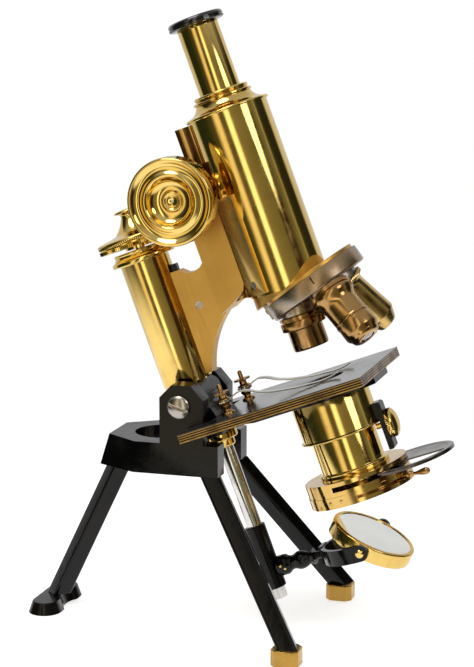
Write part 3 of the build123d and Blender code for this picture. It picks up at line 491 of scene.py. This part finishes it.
# Coarse-focus wheels: heavy brass knobs, dished on the face with a raised ring and a small boss, their
# edges milled, driven on to the ends of the pinion's shaft.
PINION = limb_at(-38.8, 0, 107.3)
knob_brass = turning("knob_brass", GOLD, TEA, PINION @ Matrix.Rotation(math.radians(90), 4, "X"), (0.05, 0.12), 0.03)
milled.steps = 216
for name, side in (("right", -1), ("left", 1)):
    knob = turned([(3.98, 17.4), (9.8, 17.4), (9.8, 19.0), (8.6, 20.0), (8.2, 21.5), (8.2, 29.4), (9.2, 31.4),
                   (11.8, 32.8), (17, 33.5), (25.4, 34.0), (26.6, 34.5), (27.0, 35.2), (27.0, 46.3), (26.8, 47.1),
                   (26.3, 47.7), (25.6, 48.0), (25.0, 47.9), (24.3, 47.4), (23.5, 46.6), (22.6, 45.8), (21.6, 45.4),
                   (20.6, 45.2), (19.7, 45.3), (18.8, 45.7), (18.0, 46.3), (17.3, 46.8), (16.7, 47.1), (16.1, 47.1),
                   (15.6, 46.8), (15.1, 46.2), (14.5, 45.3), (13.7, 44.1), (12.7, 42.9), (11.5, 41.9), (10.2, 41.2),
                   (8.8, 40.8), (7.4, 40.7), (6.7, 40.8), (6.4, 41.2), (6.2, 41.8), (5.8, 42.2), (5.2, 42.3),
                   (4.7, 42.0), (4.3, 41.5), (3.6, 41.4), (1.2, 41.4), (0.5, 40.6), (0, 40.5),
                   (0, 40.2), (3.98, 40.2), (3.98, 17.4)], milled.steps)
    milled(knob, 27.0, 35.1, 46.4, 0.3)
    move(knob, Matrix.Rotation(math.radians(-90 * side), 4, "X"))
    fitted("coarse_wheel_" + name, [knob], PINION, "pinion_shaft", "brass", knob_brass, "coarse_knob_" + name,
           turn=50)

# Body tube: drawn brass, cut slantwise at the foot to meet the nosepiece, burnished bright and lacquered.
NOSE = limb_at(17.4, 0, 25.5) @ Matrix.Rotation(math.radians(-17), 4, "Y")
barrel = turned([(23.4, 20), (25.2, 20), (25.2, 148), (23.4, 148), (23.4, 20)], 160)
nose_up = Matrix.Rotation(math.radians(-17), 3, "Y") @ Vector((0, 0, 1))
slant = Vector((17.4, 0, 25.5)) + 12.5 * nose_up
for point, normal in ((slant, nose_up), (Vector((0, 0, 34.5)), Vector((0, 0, 1)))):
    cut = bmesh.ops.bisect_plane(barrel, geom=barrel.verts[:] + barrel.edges[:] + barrel.faces[:],
                                 plane_co=point, plane_no=normal, clear_inner=True)
rims = [e for e in barrel.edges if e.is_boundary]
if rims:
    bmesh.ops.bridge_loops(barrel, edges=rims)
bmesh.ops.recalc_face_normals(barrel, faces=barrel.faces)
tube_brass = turning("tube_brass", GOLD, TEA, LIMB, (0.06, 0.13), 0.18, 2200, 0.4)
fitted("tube_barrel", [barrel], LIMB, "body_tube", "brass", tube_brass, "body_tube")

# Tube cap: a turned flange on the barrel with a hollow neck and two beads, and the sprung inner tube
# that guides the draw tube.
cap = turned([(12.95, 100), (14.4, 100), (14.4, 142), (23.4, 142), (23.4, 148), (26.3, 148), (26.5, 148.4),
              (26.5, 149.2), (26.0, 149.7), (24.6, 150.0), (22.6, 150.6), (20.8, 151.6), (19.3, 153.0), (18.2, 154.6),
              (17.6, 156.0), (18.2, 156.3), (18.7, 156.7), (18.7, 157.4), (18.1, 157.9), (17.0, 158.2), (16.6, 158.8),
              (17.0, 159.3), (17.3, 159.7), (17.3, 160.3), (16.8, 160.9), (16.0, 161.0), (12.95, 161.0),
              (12.95, 100)], 144)
fitted("tube_cap", [cap], LIMB, "body_tube", "brass", brass, "body_collar", turn=50)

# Cradle: the saddle behind the barrel, held by two small countersunk screws, with its dovetail bar, coloured dark brown
# across its width, with two bright streaks along it that are painted reflections.
saddle_brass = Finish("saddle_brass", Metallic=1.0)
where = saddle_brass.place(along=LIMB)
back = saddle_brass.node("ShaderNodeSeparateXYZ", {}, {0: where}, "X")
bar_wobble = saddle_brass.noise(saddle_brass.place((300, 300, 12), LIMB), 1.0, 4, 0.6)
bar_depth = saddle_brass.node("ShaderNodeMapRange", {}, {"Value": back + (bar_wobble - 0.5) * 0.001, "From Min": -0.0340,
                                                   "From Max": -0.0240})
BAR_BROWN = (0.085, 0.040, 0.015)
# Colour across the bar's depth is dark brown, with two bright streaks along the bar that are painted reflections, one
# at its front edge.
bar = saddle_brass.node("ShaderNodeValToRGB", {"stops": [
    (0.0, BAR_BROWN), (0.24, BAR_BROWN), (0.30, (0.60, 0.36, 0.10)), (0.44, (0.50, 0.29, 0.08)), (0.50, BAR_BROWN),
    (0.86, (0.06, 0.03, 0.012)), (0.93, (0.62, 0.40, 0.12)), (1.0, (0.72, 0.48, 0.15))]}, {0: bar_depth})
tarnish = saddle_brass.noise(where, 60, 5, 0.6)
tone = saddle_brass.blend(saddle_brass.between(tarnish, 0.45, 0.8) * 0.4, bar, (0.30, 0.16, 0.05))
saddle_brass.wear(tone, saddle_brass.between(tarnish, 0.3, 0.8, 0.22, 0.32), saddle_brass.relief(bar_wobble, 0.00001, 0.1))
from_node("tube_saddle", "tube_cradle", 0.3, "body_tube", "brass_satin", saddle_brass.made)
from_node("saddle_screws", "cradle_screws", 0, "body_tube", "steel", screw_steel)

# Nosepiece: a fixed brass disc across the barrel's slant, the turret that turns under it on a slotted
# pivot screw, and the spring catch behind. The turret's plating is worn to a brownish grey.


def worn_plating(name, along):
    """Nickel rubbed thin over brass: grey with warm patches, spun lines, dark handling marks."""
    plate = Finish(name, Metallic=1.0, IOR=1.5)
    where = plate.place(along=along)
    lines = plate.noise(plate.place((60, 60, 3200), along), 1.0, 3, 0.6)
    cloud = plate.noise(where, 60, 6, 0.65)
    warm = plate.noise(where, 22, 4, 0.6)
    marks = plate.between(plate.noise(where, 420, 4, 0.65), 0.64, 0.76)
    tone = plate.blend(plate.between(warm, 0.42, 0.66), (0.36, 0.31, 0.26), (0.36, 0.24, 0.13))
    tone = plate.blend(plate.between(cloud, 0.5, 0.75) * 0.6, tone, (0.17, 0.13, 0.10))
    tone = plate.blend(marks * 0.6, tone, (0.07, 0.05, 0.035))
    shine = plate.between(cloud, 0.3, 0.8, 0.22, 0.42) + plate.between(lines, 0.4, 0.8) * 0.08
    return plate.wear(tone, shine, plate.relief(lines, 0.00003, 0.5))


nickel = worn_plating("worn_nickel", NOSE)
from_node("nose_disc", "nosepiece_plate", 0.25, "body_tube", "brass_satin", satin_brass)
from_node("catch_spring", "turret_catch", 0.2, "body_tube", "nickel_worn", nickel)
from_node("pivot_screw", "turret_screw", 0.2, "body_tube", "steel", screw_steel)
rotor = [eased(turned([(3.9, 0), (32.5, 0), (33.2, 0.9), (33.2, 10.2), (3.9, 10.2), (3.9, 0)], 160), 0.25)]
sockets = {}
for name, bearing in (("low", 0), ("medium", 120), ("high", 240)):
    spot = Matrix.Rotation(math.radians(bearing), 4, "Z") @ at(-18) @ Matrix.Rotation(math.radians(197), 4, "Y")
    sockets[name] = spot
    boss = eased(turned([(8, -2.6), (12, -2.6), (12, 4.6), (8, 4.6), (8, -2.6)], 96), 0.35)
    rotor.append(move(boss, spot))
fitted("turret_disc", rotor, NOSE, "turret", "nickel_worn", nickel, "turret")

# Index mark: a short cut across the turret's rim, blacked, which lines up when an objective is home.
ink = enamelled("mark_black")
mark = bmesh.new()
bmesh.ops.create_cube(mark, size=1.0)
bmesh.ops.scale(mark, vec=(0.5, 0.9, 5.0), verts=mark.verts)
eased(mark, 0.12)
move(mark, Matrix.Rotation(math.radians(-74), 4, "Z") @ at(33.02, 0, 6.9))
fitted("index_mark", [mark], NOSE, "turret", "nickel_worn", ink)

# Objectives: three turned brass barrels of different powers, each with a milled band by the turret. The
# two lower powers are lacquered brown, the highest pale gold with a long taper to its small front lens.
bronze = turning("brown_bronze", (0.46, 0.27, 0.10), (0.24, 0.11, 0.04), NOSE, (0.12, 0.28), 0.3, 2600, 0.8)
pale = turning("pale_brass", (0.66, 0.46, 0.18), (0.46, 0.28, 0.09), NOSE, (0.14, 0.28), 0.3)
objectives = {
    "low": (7.0, bronze, (7.4, 12.4), 14.0, [
        (13.8, 4.6), (13.8, 6.2), (12.6, 6.5), (12.6, 7.1), (13.7, 7.3), (14.0, 7.6), (14.0, 12.2), (13.6, 12.6),
        (11.6, 12.9), (11.3, 13.4), (11.3, 25.0), (11.0, 25.8), (10.6, 26.2)]),
    "medium": (5.0, bronze, (8.8, 10.0), 14.0, [
        (14.2, 4.6), (14.2, 7.0), (13.2, 7.4), (13.2, 8.4), (13.9, 8.7), (14.0, 9.2), (13.8, 10.0), (13.2, 11.0),
        (12.2, 12.6), (11.5, 14.2), (11.2, 16.0), (11.2, 26.2), (11.5, 26.5), (11.6, 27.3), (11.5, 28.0),
        (11.0, 28.3), (11.0, 29.2), (11.4, 29.5), (11.4, 36.2), (11.0, 37.2), (9.9, 38.6), (9.4, 39.8), (9.0, 40.8),
        (8.0, 41.6), (6.0, 42.0)]),
    "high": (3.0, pale, (4.8, 6.7), 13.8, [
        (13.6, 4.6), (13.8, 4.8), (13.8, 6.6), (12.8, 7.1), (11.6, 8.0), (10.9, 9.0), (10.6, 10.2), (10.6, 35.6),
        (10.3, 36.3), (9.6, 37.2), (6.9, 41.9), (6.2, 42.7), (5.4, 43.2)]),
}
glass_shapes = []
milled.steps = 144
for name, (bore, finish, band, rim, lines) in objectives.items():
    end = lines[-1][1]
    shell = [(bore + 1.5, 4.6)] + lines + [(bore, end), (bore, end - 3), (bore + 1.5, end - 3), (bore + 1.5, 4.6)]
    mount = milled(turned(shell, milled.steps), rim, band[0], band[1], 0.3)
    fitted("objective_" + name + "_mount", [move(mount, sockets[name])], NOSE, "turret",
           "brass" if name == "high" else "bronze", finish, "objective_" + name, turn=42)
    front = turned([(0, end - 3), (bore, end - 3), (bore, end - 0.6), (bore * 0.8, end - 0.35),
                    (bore * 0.4, end - 0.1), (0, end)], 48)
    glass_shapes.append(move(front, sockets[name]))


def lens_glass(name):
    """Old optical glass, painted near-black for the black mount and the shade inside it seen through the glass, with a
    little dust.
    """
    lens = Finish(name, Metallic=0.0, IOR=1.52, Coat_Weight=1.0, Coat_Roughness=0.02)
    where = lens.place()
    haze = lens.noise(where, 260, 4, 0.6)
    dust = lens.between(lens.noise(where, 2400, 2, 0.5), 0.7, 0.78)
    tone = lens.blend(haze, (0.012, 0.014, 0.020), (0.035, 0.030, 0.042))
    return lens.wear(lens.blend(dust * 0.5, tone, (0.3, 0.29, 0.27)), lens.between(haze, 0.3, 0.8, 0.02, 0.08))


lens = lens_glass("lens_glass")
fitted("objective_front_lenses", glass_shapes, NOSE, "turret", "glass", lens, "objective_lenses")

# Draw tube: a thin bright tube that pulls out of the cap to lengthen the microscope.
draw = turned([(11.65, 95), (12.9, 95), (12.9, 203.2), (11.65, 203.2), (11.65, 95)], 128)
fitted("draw_tube_barrel", [eased(draw, 0.2)], LIMB, "draw_tube", "brass", tube_brass, "draw_tube")

# Eyepiece: a black cap with ringed edge and dished eye opening, on a brass shell that drops into the
# draw tube, with its two lenses.


def black_cap(name):
    """Turned black mount: hard gloss with lathe rings and pale rubs here and there."""
    cap_black = Finish(name, Metallic=0.0, IOR=1.55, Coat_Weight=0.5, Coat_Roughness=0.1)
    rings = cap_black.noise(cap_black.place((30, 30, 3000), LIMB), 1.0, 2, 0.5)
    rub = cap_black.between(cap_black.noise(cap_black.place(along=LIMB), 240, 4, 0.6), 0.52, 0.75)
    tone = cap_black.blend(rub, (0.006, 0.006, 0.007), (0.045, 0.036, 0.028))
    return cap_black.wear(tone, cap_black.between(rub, 0, 1, 0.14, 0.36), cap_black.relief(rings, 0.00003, 0.5))


milled.steps = 180
ocular = turned([(10.4, 168), (11.6, 168), (11.6, 203.3), (15.8, 203.3), (16.9, 203.5), (17.5, 204.0), (17.5, 204.9),
                 (17.0, 205.2), (17.0, 205.5), (17.5, 205.8), (17.5, 206.7), (17.2, 207.2), (16.8, 207.9),
                 (16.0, 208.2), (10.6, 208.2), (8.4, 208.0), (6.4, 207.4), (4.9, 206.6), (4.6, 206.2), (4.6, 203.2),
                 (6.4, 203.2), (6.4, 196.6), (10.4, 195.4), (10.4, 168)], milled.steps)
fitted("eyepiece_mount", [milled(ocular, 17.5, 203.9, 205.0, 0.2)], LIMB, "eyepiece", "eyepiece_black",
       black_cap("eyepiece_black"), "eyepiece_body", turn=42)
eye_lens = turned([(0, 197.4), (6.4, 197.4), (6.4, 199.6), (5.4, 200.3), (4.0, 201.0), (2.0, 201.5), (0, 201.7)], 64)
field_lens = turned([(0, 169.0), (10.4, 169.0), (10.4, 170.6), (7.4, 172.2), (3.8, 173.2), (0, 173.5)], 64)
fitted("eyepiece_glasses", [eye_lens, field_lens], LIMB, "eyepiece", "glass", lens, "eyepiece_lenses")

# Condenser: a brass tube that slides in the sleeve, with its top lens, a two-storey drum for the iris and
# a slot in the upper storey for the filter carrier.
tube = turned([(18.5, -36), (20.5, -36), (20.5, -83.4), (21.0, -83.8), (22.2, -83.9), (22.4, -84.3), (22.4, -86.5),
               (18.5, -86.5), (18.5, -36)], 128)
fitted("condenser_barrel", [eased(tube, 0.15)], LIMB, "condenser", "brass", brass, "condenser_tube")
top_lens = turned([(0, -46), (18.5, -46), (18.5, -43.4), (15.4, -40.6), (10.6, -38.4), (5.4, -37.2), (0, -36.8)], 96)
fitted("condenser_top_lens", [top_lens], LIMB, "condenser", "glass", lens, "condenser_lens")


def storey(inner, outer, low, high, start=0.0, sweep=360.0):
    return turned([(inner, low), (outer, low), (outer, high), (inner, high), (inner, low)], 144, start, sweep)


drum_brass = turning("drum_brass", (0.66, 0.44, 0.14), (0.40, 0.22, 0.06), LIMB, (0.06, 0.16), 0.08)
carrier_pin = move(turned([(0, -92.3), (1.55, -92.3), (1.55, -88.9), (0, -88.9)], 32), at(17.5, 25))
upper = [storey(16, 33.2, -89.0, -86.5), storey(16, 33.2, -95, -92.2),
         storey(30.5, 33.2, -92.2, -89.0, 104.5, 151), carrier_pin]
fitted("iris_drum_upper", upper, LIMB, "condenser", "brass", drum_brass, "iris_housing")
lower = [storey(16, 33.6, -97.3, -95), storey(16, 33.6, -102, -99.4),
         storey(27.8, 33.6, -99.4, -97.3, -11, 291)]
for bearing in (-98, -112, -128):
    pin = turned([(0, 33.2), (1.1, 33.2), (1.1, 33.75), (0.6, 34.0), (0, 34.0)], 24)
    turn = Matrix.Rotation(math.radians(bearing), 4, "Z") @ Matrix.Rotation(math.radians(90), 4, "Y")
    lower.append(move(pin, at(0, 0, -98.2 if bearing > -120 else -100.4) @ turn))
fitted("iris_drum_lower", lower, LIMB, "condenser", "brass", drum_brass, "iris_base")

# Iris: thin blued leaves inside the drum, worked by a ring with a stalk and a brown teardrop handle that
# comes out through the slot in the lower storey.
blued = steel("blued_steel", (0.10, 0.10, 0.12), LIMB, (0.25, 0.4), (300, 300, 300))
leaves = []
for leaf in range(12):
    blade = turned([(13.0, -0.05), (20.4, -0.05), (20.4, 0.05), (13.0, 0.05), (13.0, -0.05)], 72, 0, 150)
    spread = Matrix.Rotation(math.radians(30 * leaf), 4, "Z") @ at(-5.0, 0, -99.3 + 0.07 * leaf)
    leaves.append(move(blade, spread))
leaves.append(turned([(21.5, -99.4), (24.2, -99.4), (24.2, -98.4), (21.5, -98.4), (21.5, -99.4)], 96))
fitted("iris_blades", leaves, LIMB, "condenser", "dark_steel", blued, "iris_leaves")
handle = turned([(0, 35.5), (1.2, 35.6), (2.0, 36.0), (2.3, 36.8), (2.0, 37.7), (1.3, 38.4), (1.0, 39.4), (1.1, 40.8),
                 (1.5, 42.8), (2.0, 45.0), (2.3, 46.9), (2.1, 48.5), (1.4, 49.7), (0.7, 50.1), (0, 50.2)], 40)
stalk = bmesh.new()
bmesh.ops.create_cube(stalk, size=1.0)
bmesh.ops.scale(stalk, vec=(10, 3, 1.75), verts=stalk.verts)
bearing = Matrix.Rotation(math.radians(-15), 4, "Z")
lever = [turned([(24.5, -99.25), (27.6, -99.25), (27.6, -97.5), (24.5, -97.5), (24.5, -99.25)], 120),
         move(eased(stalk, 0.3), bearing @ at(31.2, 0, -98.375)),
         move(handle, bearing @ at(0, 0, -98.4) @ Matrix.Rotation(math.radians(90), 4, "Y"))]
fitted("iris_handle", lever, LIMB, "iris_lever", "bronze", bronze, "iris_lever")

# Filter carrier: a dark steel ring with a ledge for a disc of glass, swinging out on a pin in the drum.
carrier_steel = steel("carrier_steel", (0.13, 0.11, 0.10), LIMB, (0.16, 0.32), (60, 60, 60))
holder = turned([(23, -91.7), (29, -91.7), (29, -89.5), (25, -89.5), (25, -90.6), (23, -90.6), (23, -91.7)], 144)
ear = turned([(1.6, -91.7), (3.6, -91.7), (3.6, -89.5), (1.6, -89.5), (1.6, -91.7)], 40)
fitted("filter_ring", [move(eased(holder, 0.25), at(35)), move(eased(ear, 0.2), at(17.5, 25))], LIMB,
       "filter_carrier", "dark_steel", carrier_steel, "filter_carrier")

# Half stop: a thin dark plate lying in the carrier's ledge, with one side cut off straight, so that the
# light reaches the slide aslant.
half_stop = turned([(0, -90.6), (24.9, -90.6), (24.9, -89.7), (24.8, -89.6), (0, -89.6)], 144)
bmesh.ops.bisect_plane(half_stop, geom=half_stop.verts[:] + half_stop.edges[:] + half_stop.faces[:],
                       plane_co=(0, -4, 0), plane_no=(0, -1, 0), clear_outer=True)
bmesh.ops.holes_fill(half_stop, edges=[e for e in half_stop.edges if e.is_boundary])
fitted("half_stop", [move(half_stop, at(35))], LIMB, "filter_carrier", "dark_steel", carrier_steel, "light_stop")

# Clamp screw: a domed brass thumb-head with a milled edge, on a shank through the guide bar.
milled.steps = 96
thumb = turned([(0, 22.1), (1.9, 22.1), (1.9, 30.4), (8.2, 30.4), (9.1, 30.8), (9.1, 33.2), (8.7, 33.9), (7.6, 34.7),
                (6.0, 35.5), (4.2, 36.1), (2.2, 36.4), (0, 36.5)], milled.steps)
milled(thumb, 9.1, 30.6, 33.4, 0.35)
CLAMP = LIMB @ Matrix.Translation((0, 0, -0.0655)) @ Matrix.Rotation(math.radians(90), 4, "Y")
fitted("thumb_screw", [thumb], CLAMP, "clamp_screw", "brass", brass, "clamp_screw", turn=42)

# Mirror carriage: a black sleeve that slides on the tail rod, its turned arm, and the half hoop that
# swivels on the arm's pin. Two brass grub screws fix the arm in the sleeve.
sliding = turned([(5.05, -145), (6.3, -145), (6.7, -144.5), (6.7, -103.5), (6.3, -103), (5.05, -103),
                  (5.05, -145)], 80)
fitted("mirror_carriage_sleeve", [sliding], ROD, "mirror_carriage", "black_enamel", black, "mirror_sleeve")
ARM = ROD @ Matrix.Translation((0, 0, -0.1325)) @ Matrix.Rotation(math.radians(90), 4, "Y")
baluster = turned([(0, 6.2), (6.2, 6.2), (6.6, 6.8), (6.6, 11.4), (6.4, 12.6), (5.5, 13.8), (4.9, 14.6), (4.5, 16.0),
                   (4.6, 17.6), (5.3, 19.2), (5.8, 20.6), (5.9, 22.0), (5.7, 23.6), (5.2, 25.2), (4.4, 26.8),
                   (4.0, 28.0), (4.3, 29.4), (5.0, 30.6), (5.2, 31.4), (2.5, 31.4), (2.5, 39.4), (2.2, 39.6),
                   (0, 39.6)], 72)
fitted("mirror_arm_baluster", [baluster], ARM, "mirror_carriage", "black_enamel", black, "mirror_arm")
grubs = []
for along in (9.6, 12.0):
    grub = turned([(0, 6.2), (0.75, 6.2), (0.75, 6.75), (0.4, 6.95), (0, 6.95)], 20)
    roll = Matrix.Rotation(math.radians(-8 if along < 10 else 14), 4, "Z")
    grubs.append(move(grub, at(0, 0, along) @ roll @ Matrix.Rotation(math.radians(90), 4, "X")))
fitted("mirror_arm_grubs", grubs, ARM, "mirror_carriage", "brass", brass)
from_node("mirror_hoop", "mirror_fork", 0.4, "mirror_fork", "black_enamel", black)
from_node("hoop_screws", "mirror_pivot_screws", 0.12, "mirror_fork", "brass", brass)

# Mirror: a spun brass cell with a rolled lip each side, holding a flat glass and a hollow one back to back.
MIRROR = limb_at(-5.6, 0, -132.5) @ Matrix.Rotation(math.radians(43.6), 4, "Y")
wall = [(25.25, 0.4), (25.25, 4.4), (24.4, 4.4), (24.4, 4.8), (24.7, 5.0), (25.6, 5.0), (26.5, 4.8), (27.0, 4.4),
        (27.2, 3.8)]
cell = turned([(0, 0.4)] + wall + [(r, -z) for r, z in reversed(wall)] + [(0, -0.4)], 144)
cell_brass = turning("cell_brass", GOLD, TEA, MIRROR, (0.10, 0.22))
fitted("mirror_cell_ring", [cell], MIRROR, "mirror", "brass", cell_brass, "mirror_cell")


def silvered(name):
    """Back-silvered plate glass: clear and bright, cloudier towards one side, with age specks."""
    plate = Finish(name, Metallic=1.0, Coat_Weight=1.0, Coat_Roughness=0.01)
    where = plate.place(along=MIRROR)
    haze = plate.noise(where, 34, 4, 0.6)
    specks = plate.between(plate.noise(where, 1100, 3, 0.6), 0.71, 0.79)
    tone = plate.blend(plate.between(haze, 0.3, 0.75), (0.90, 0.89, 0.84), (0.80, 0.80, 0.76))
    tone = plate.blend(specks * 0.6, tone, (0.3, 0.28, 0.24))
    return plate.wear(tone, plate.between(haze, 0.3, 0.8, 0.03, 0.10))


flat_glass = turned([(0, 0.4), (25.2, 0.4), (25.2, 4.4), (0, 4.4)], 128)
hollow_glass = turned([(0, -0.4), (25.2, -0.4), (25.2, -4.4), (22, -4.0), (18, -3.55), (14, -3.1), (9, -2.6),
                       (4.5, -2.37), (0, -2.3)], 128)
fitted("mirror_plates", [flat_glass, hollow_glass], MIRROR, "mirror", "mirror_glass", silvered("mirror_silver"),
       "mirror_glasses")

# Floor: a round of matt white board that fades into the white all round it.
board = Finish("white_board", Roughness=0.85, Specular_IOR_Level=0.2, Emission_Color=(1, 1, 1, 1), Emission_Strength=0.6)
where = board.place()
paper = board.noise(where, 300, 3, 0.5)
board.wear(board.blend(paper, (0.90, 0.90, 0.90), (0.94, 0.94, 0.94)), None, board.relief(paper, 0.0002, 0.2))
reach = board.node("ShaderNodeVectorMath", {"operation": "LENGTH"}, {0: where}, "Value")
clear = board.node("ShaderNodeBsdfTransparent", {}, {}, "BSDF")
faded = board.node("ShaderNodeMixShader", {}, {0: board.between(reach, 0.28, 0.55),
                                              1: Signal(board, board.shader.outputs[0]), 2: clear}, "Shader")
board.tree.links.new(faded.socket, board.tree.nodes["Material Output"].inputs["Surface"])
round_board = bmesh.new()
bmesh.ops.create_circle(round_board, cap_ends=True, segments=96, radius=0.6)
floor_mesh = bpy.data.meshes.new("floor")
round_board.to_mesh(floor_mesh)
round_board.free()
floor = bpy.data.objects.new("floor", floor_mesh)
floor_mesh.materials.append(board.made)
bpy.context.scene.collection.objects.link(floor)

# Light: white all round and behind, a dim room on the near side with a tall window in it, which is what
# gives turned brass its dark and bright bands; two soft boxes above.
world = bpy.data.worlds.new("studio")
bpy.context.scene.world = world
room = Finish("studio", world)
facing = room.node("ShaderNodeTexCoord", {}, {}, "Generated")
NEAR = math.radians(17.08)
ahead_of = room.node("ShaderNodeVectorMath", {"operation": "DOT_PRODUCT"},
                     {0: facing, 1: (math.sin(NEAR), -math.cos(NEAR), 0)}, "Value")
right_of = room.node("ShaderNodeVectorMath", {"operation": "DOT_PRODUCT"},
                     {0: facing, 1: (math.cos(NEAR), math.sin(NEAR), 0)}, "Value")
bearing = room.node("ShaderNodeMath", {"operation": "ARCTAN2"}, {0: right_of, 1: ahead_of}) * (0.5 / math.pi) + 0.5
BACK, DIM, DUSK = (0.75, 0.75, 0.75), (0.03, 0.03, 0.02), (0.045, 0.02, 0.01)
walls = room.node("ShaderNodeValToRGB", {"stops": [
    (0.0, BACK), (0.17, BACK), (0.20, (0.02, 0.03, 0.02)), (0.30, (0.03, 0.04, 0.02)), (0.365, (0.10, 0.09, 0.04)),
    (0.395, (1.3, 1.15, 0.8)), (0.415, (1.2, 1.05, 0.75)), (0.43, (0.16, 0.14, 0.07)), (0.46, (0.14, 0.12, 0.06)),
    (0.475, (2.1, 2.0, 1.6)), (0.492, (2.1, 2.0, 1.6)), (0.51, (0.30, 0.27, 0.16)), (0.605, (0.20, 0.19, 0.11)),
    (0.62, DUSK), (0.66, DUSK), (0.675, (0.12, 0.12, 0.07)), (0.72, (0.26, 0.26, 0.17)), (0.73, (0.5, 0.48, 0.35)),
    (0.74, (0.06, 0.06, 0.04)), (0.77, DIM), (0.835, DIM), (0.86, BACK), (1.0, BACK)]}, {0: bearing})
height = room.node("ShaderNodeSeparateXYZ", {}, {0: facing}, "Z")
over = room.between(height, 0.45, 0.8)
under = room.between(height, -0.75, -0.35, 1.0, 0.0)
walls = room.blend(over, walls, (0.55, 0.55, 0.55))
walls = room.blend(under, walls, (0.25, 0.25, 0.25))
seen = room.node("ShaderNodeLightPath", {}, {}, "Is Camera Ray")
sky = room.blend(seen, walls, (1.0, 1.0, 1.0))
backdrop = room.tree.nodes["Background"]
room.tree.links.new(sky.socket, backdrop.inputs["Color"])
backdrop.inputs["Strength"].default_value = 1.0

middle = (cad_box[0] + cad_box[1]) / 2
for name, place, size, power in (("top_box", (-0.35, -0.45, 1.25), 0.7, 7.0), ("side_box", (1.0, -0.5, 0.7), 0.5, 2.0)):
    lamp = bpy.data.lights.new(name, "AREA")
    lamp.shape = "DISK"
    lamp.size = size
    lamp.energy = power
    stand_in = bpy.data.objects.new(name, lamp)
    stand_in.location = middle + Vector(place)
    stand_in.rotation_euler = (-Vector(place)).to_track_quat("-Z", "Y").to_euler()
    bpy.context.scene.collection.objects.link(stand_in)
bpy.context.scene.view_settings.view_transform = "Standard"

# Camera: a long lens a little above the stage, from the front right of the tripod.
lens_data = bpy.data.cameras.new("camera")
lens_data.lens = 105.63
lens_data.clip_end = 20
camera = bpy.data.objects.new("camera", lens_data)
camera.location = (0.3521, -1.1493, 0.4128)
camera.rotation_euler = Vector((-0.2887, 0.9396, -0.18375)).to_track_quat("-Z", "Y").to_euler()
bpy.context.scene.collection.objects.link(camera)
bpy.context.scene.camera = camera
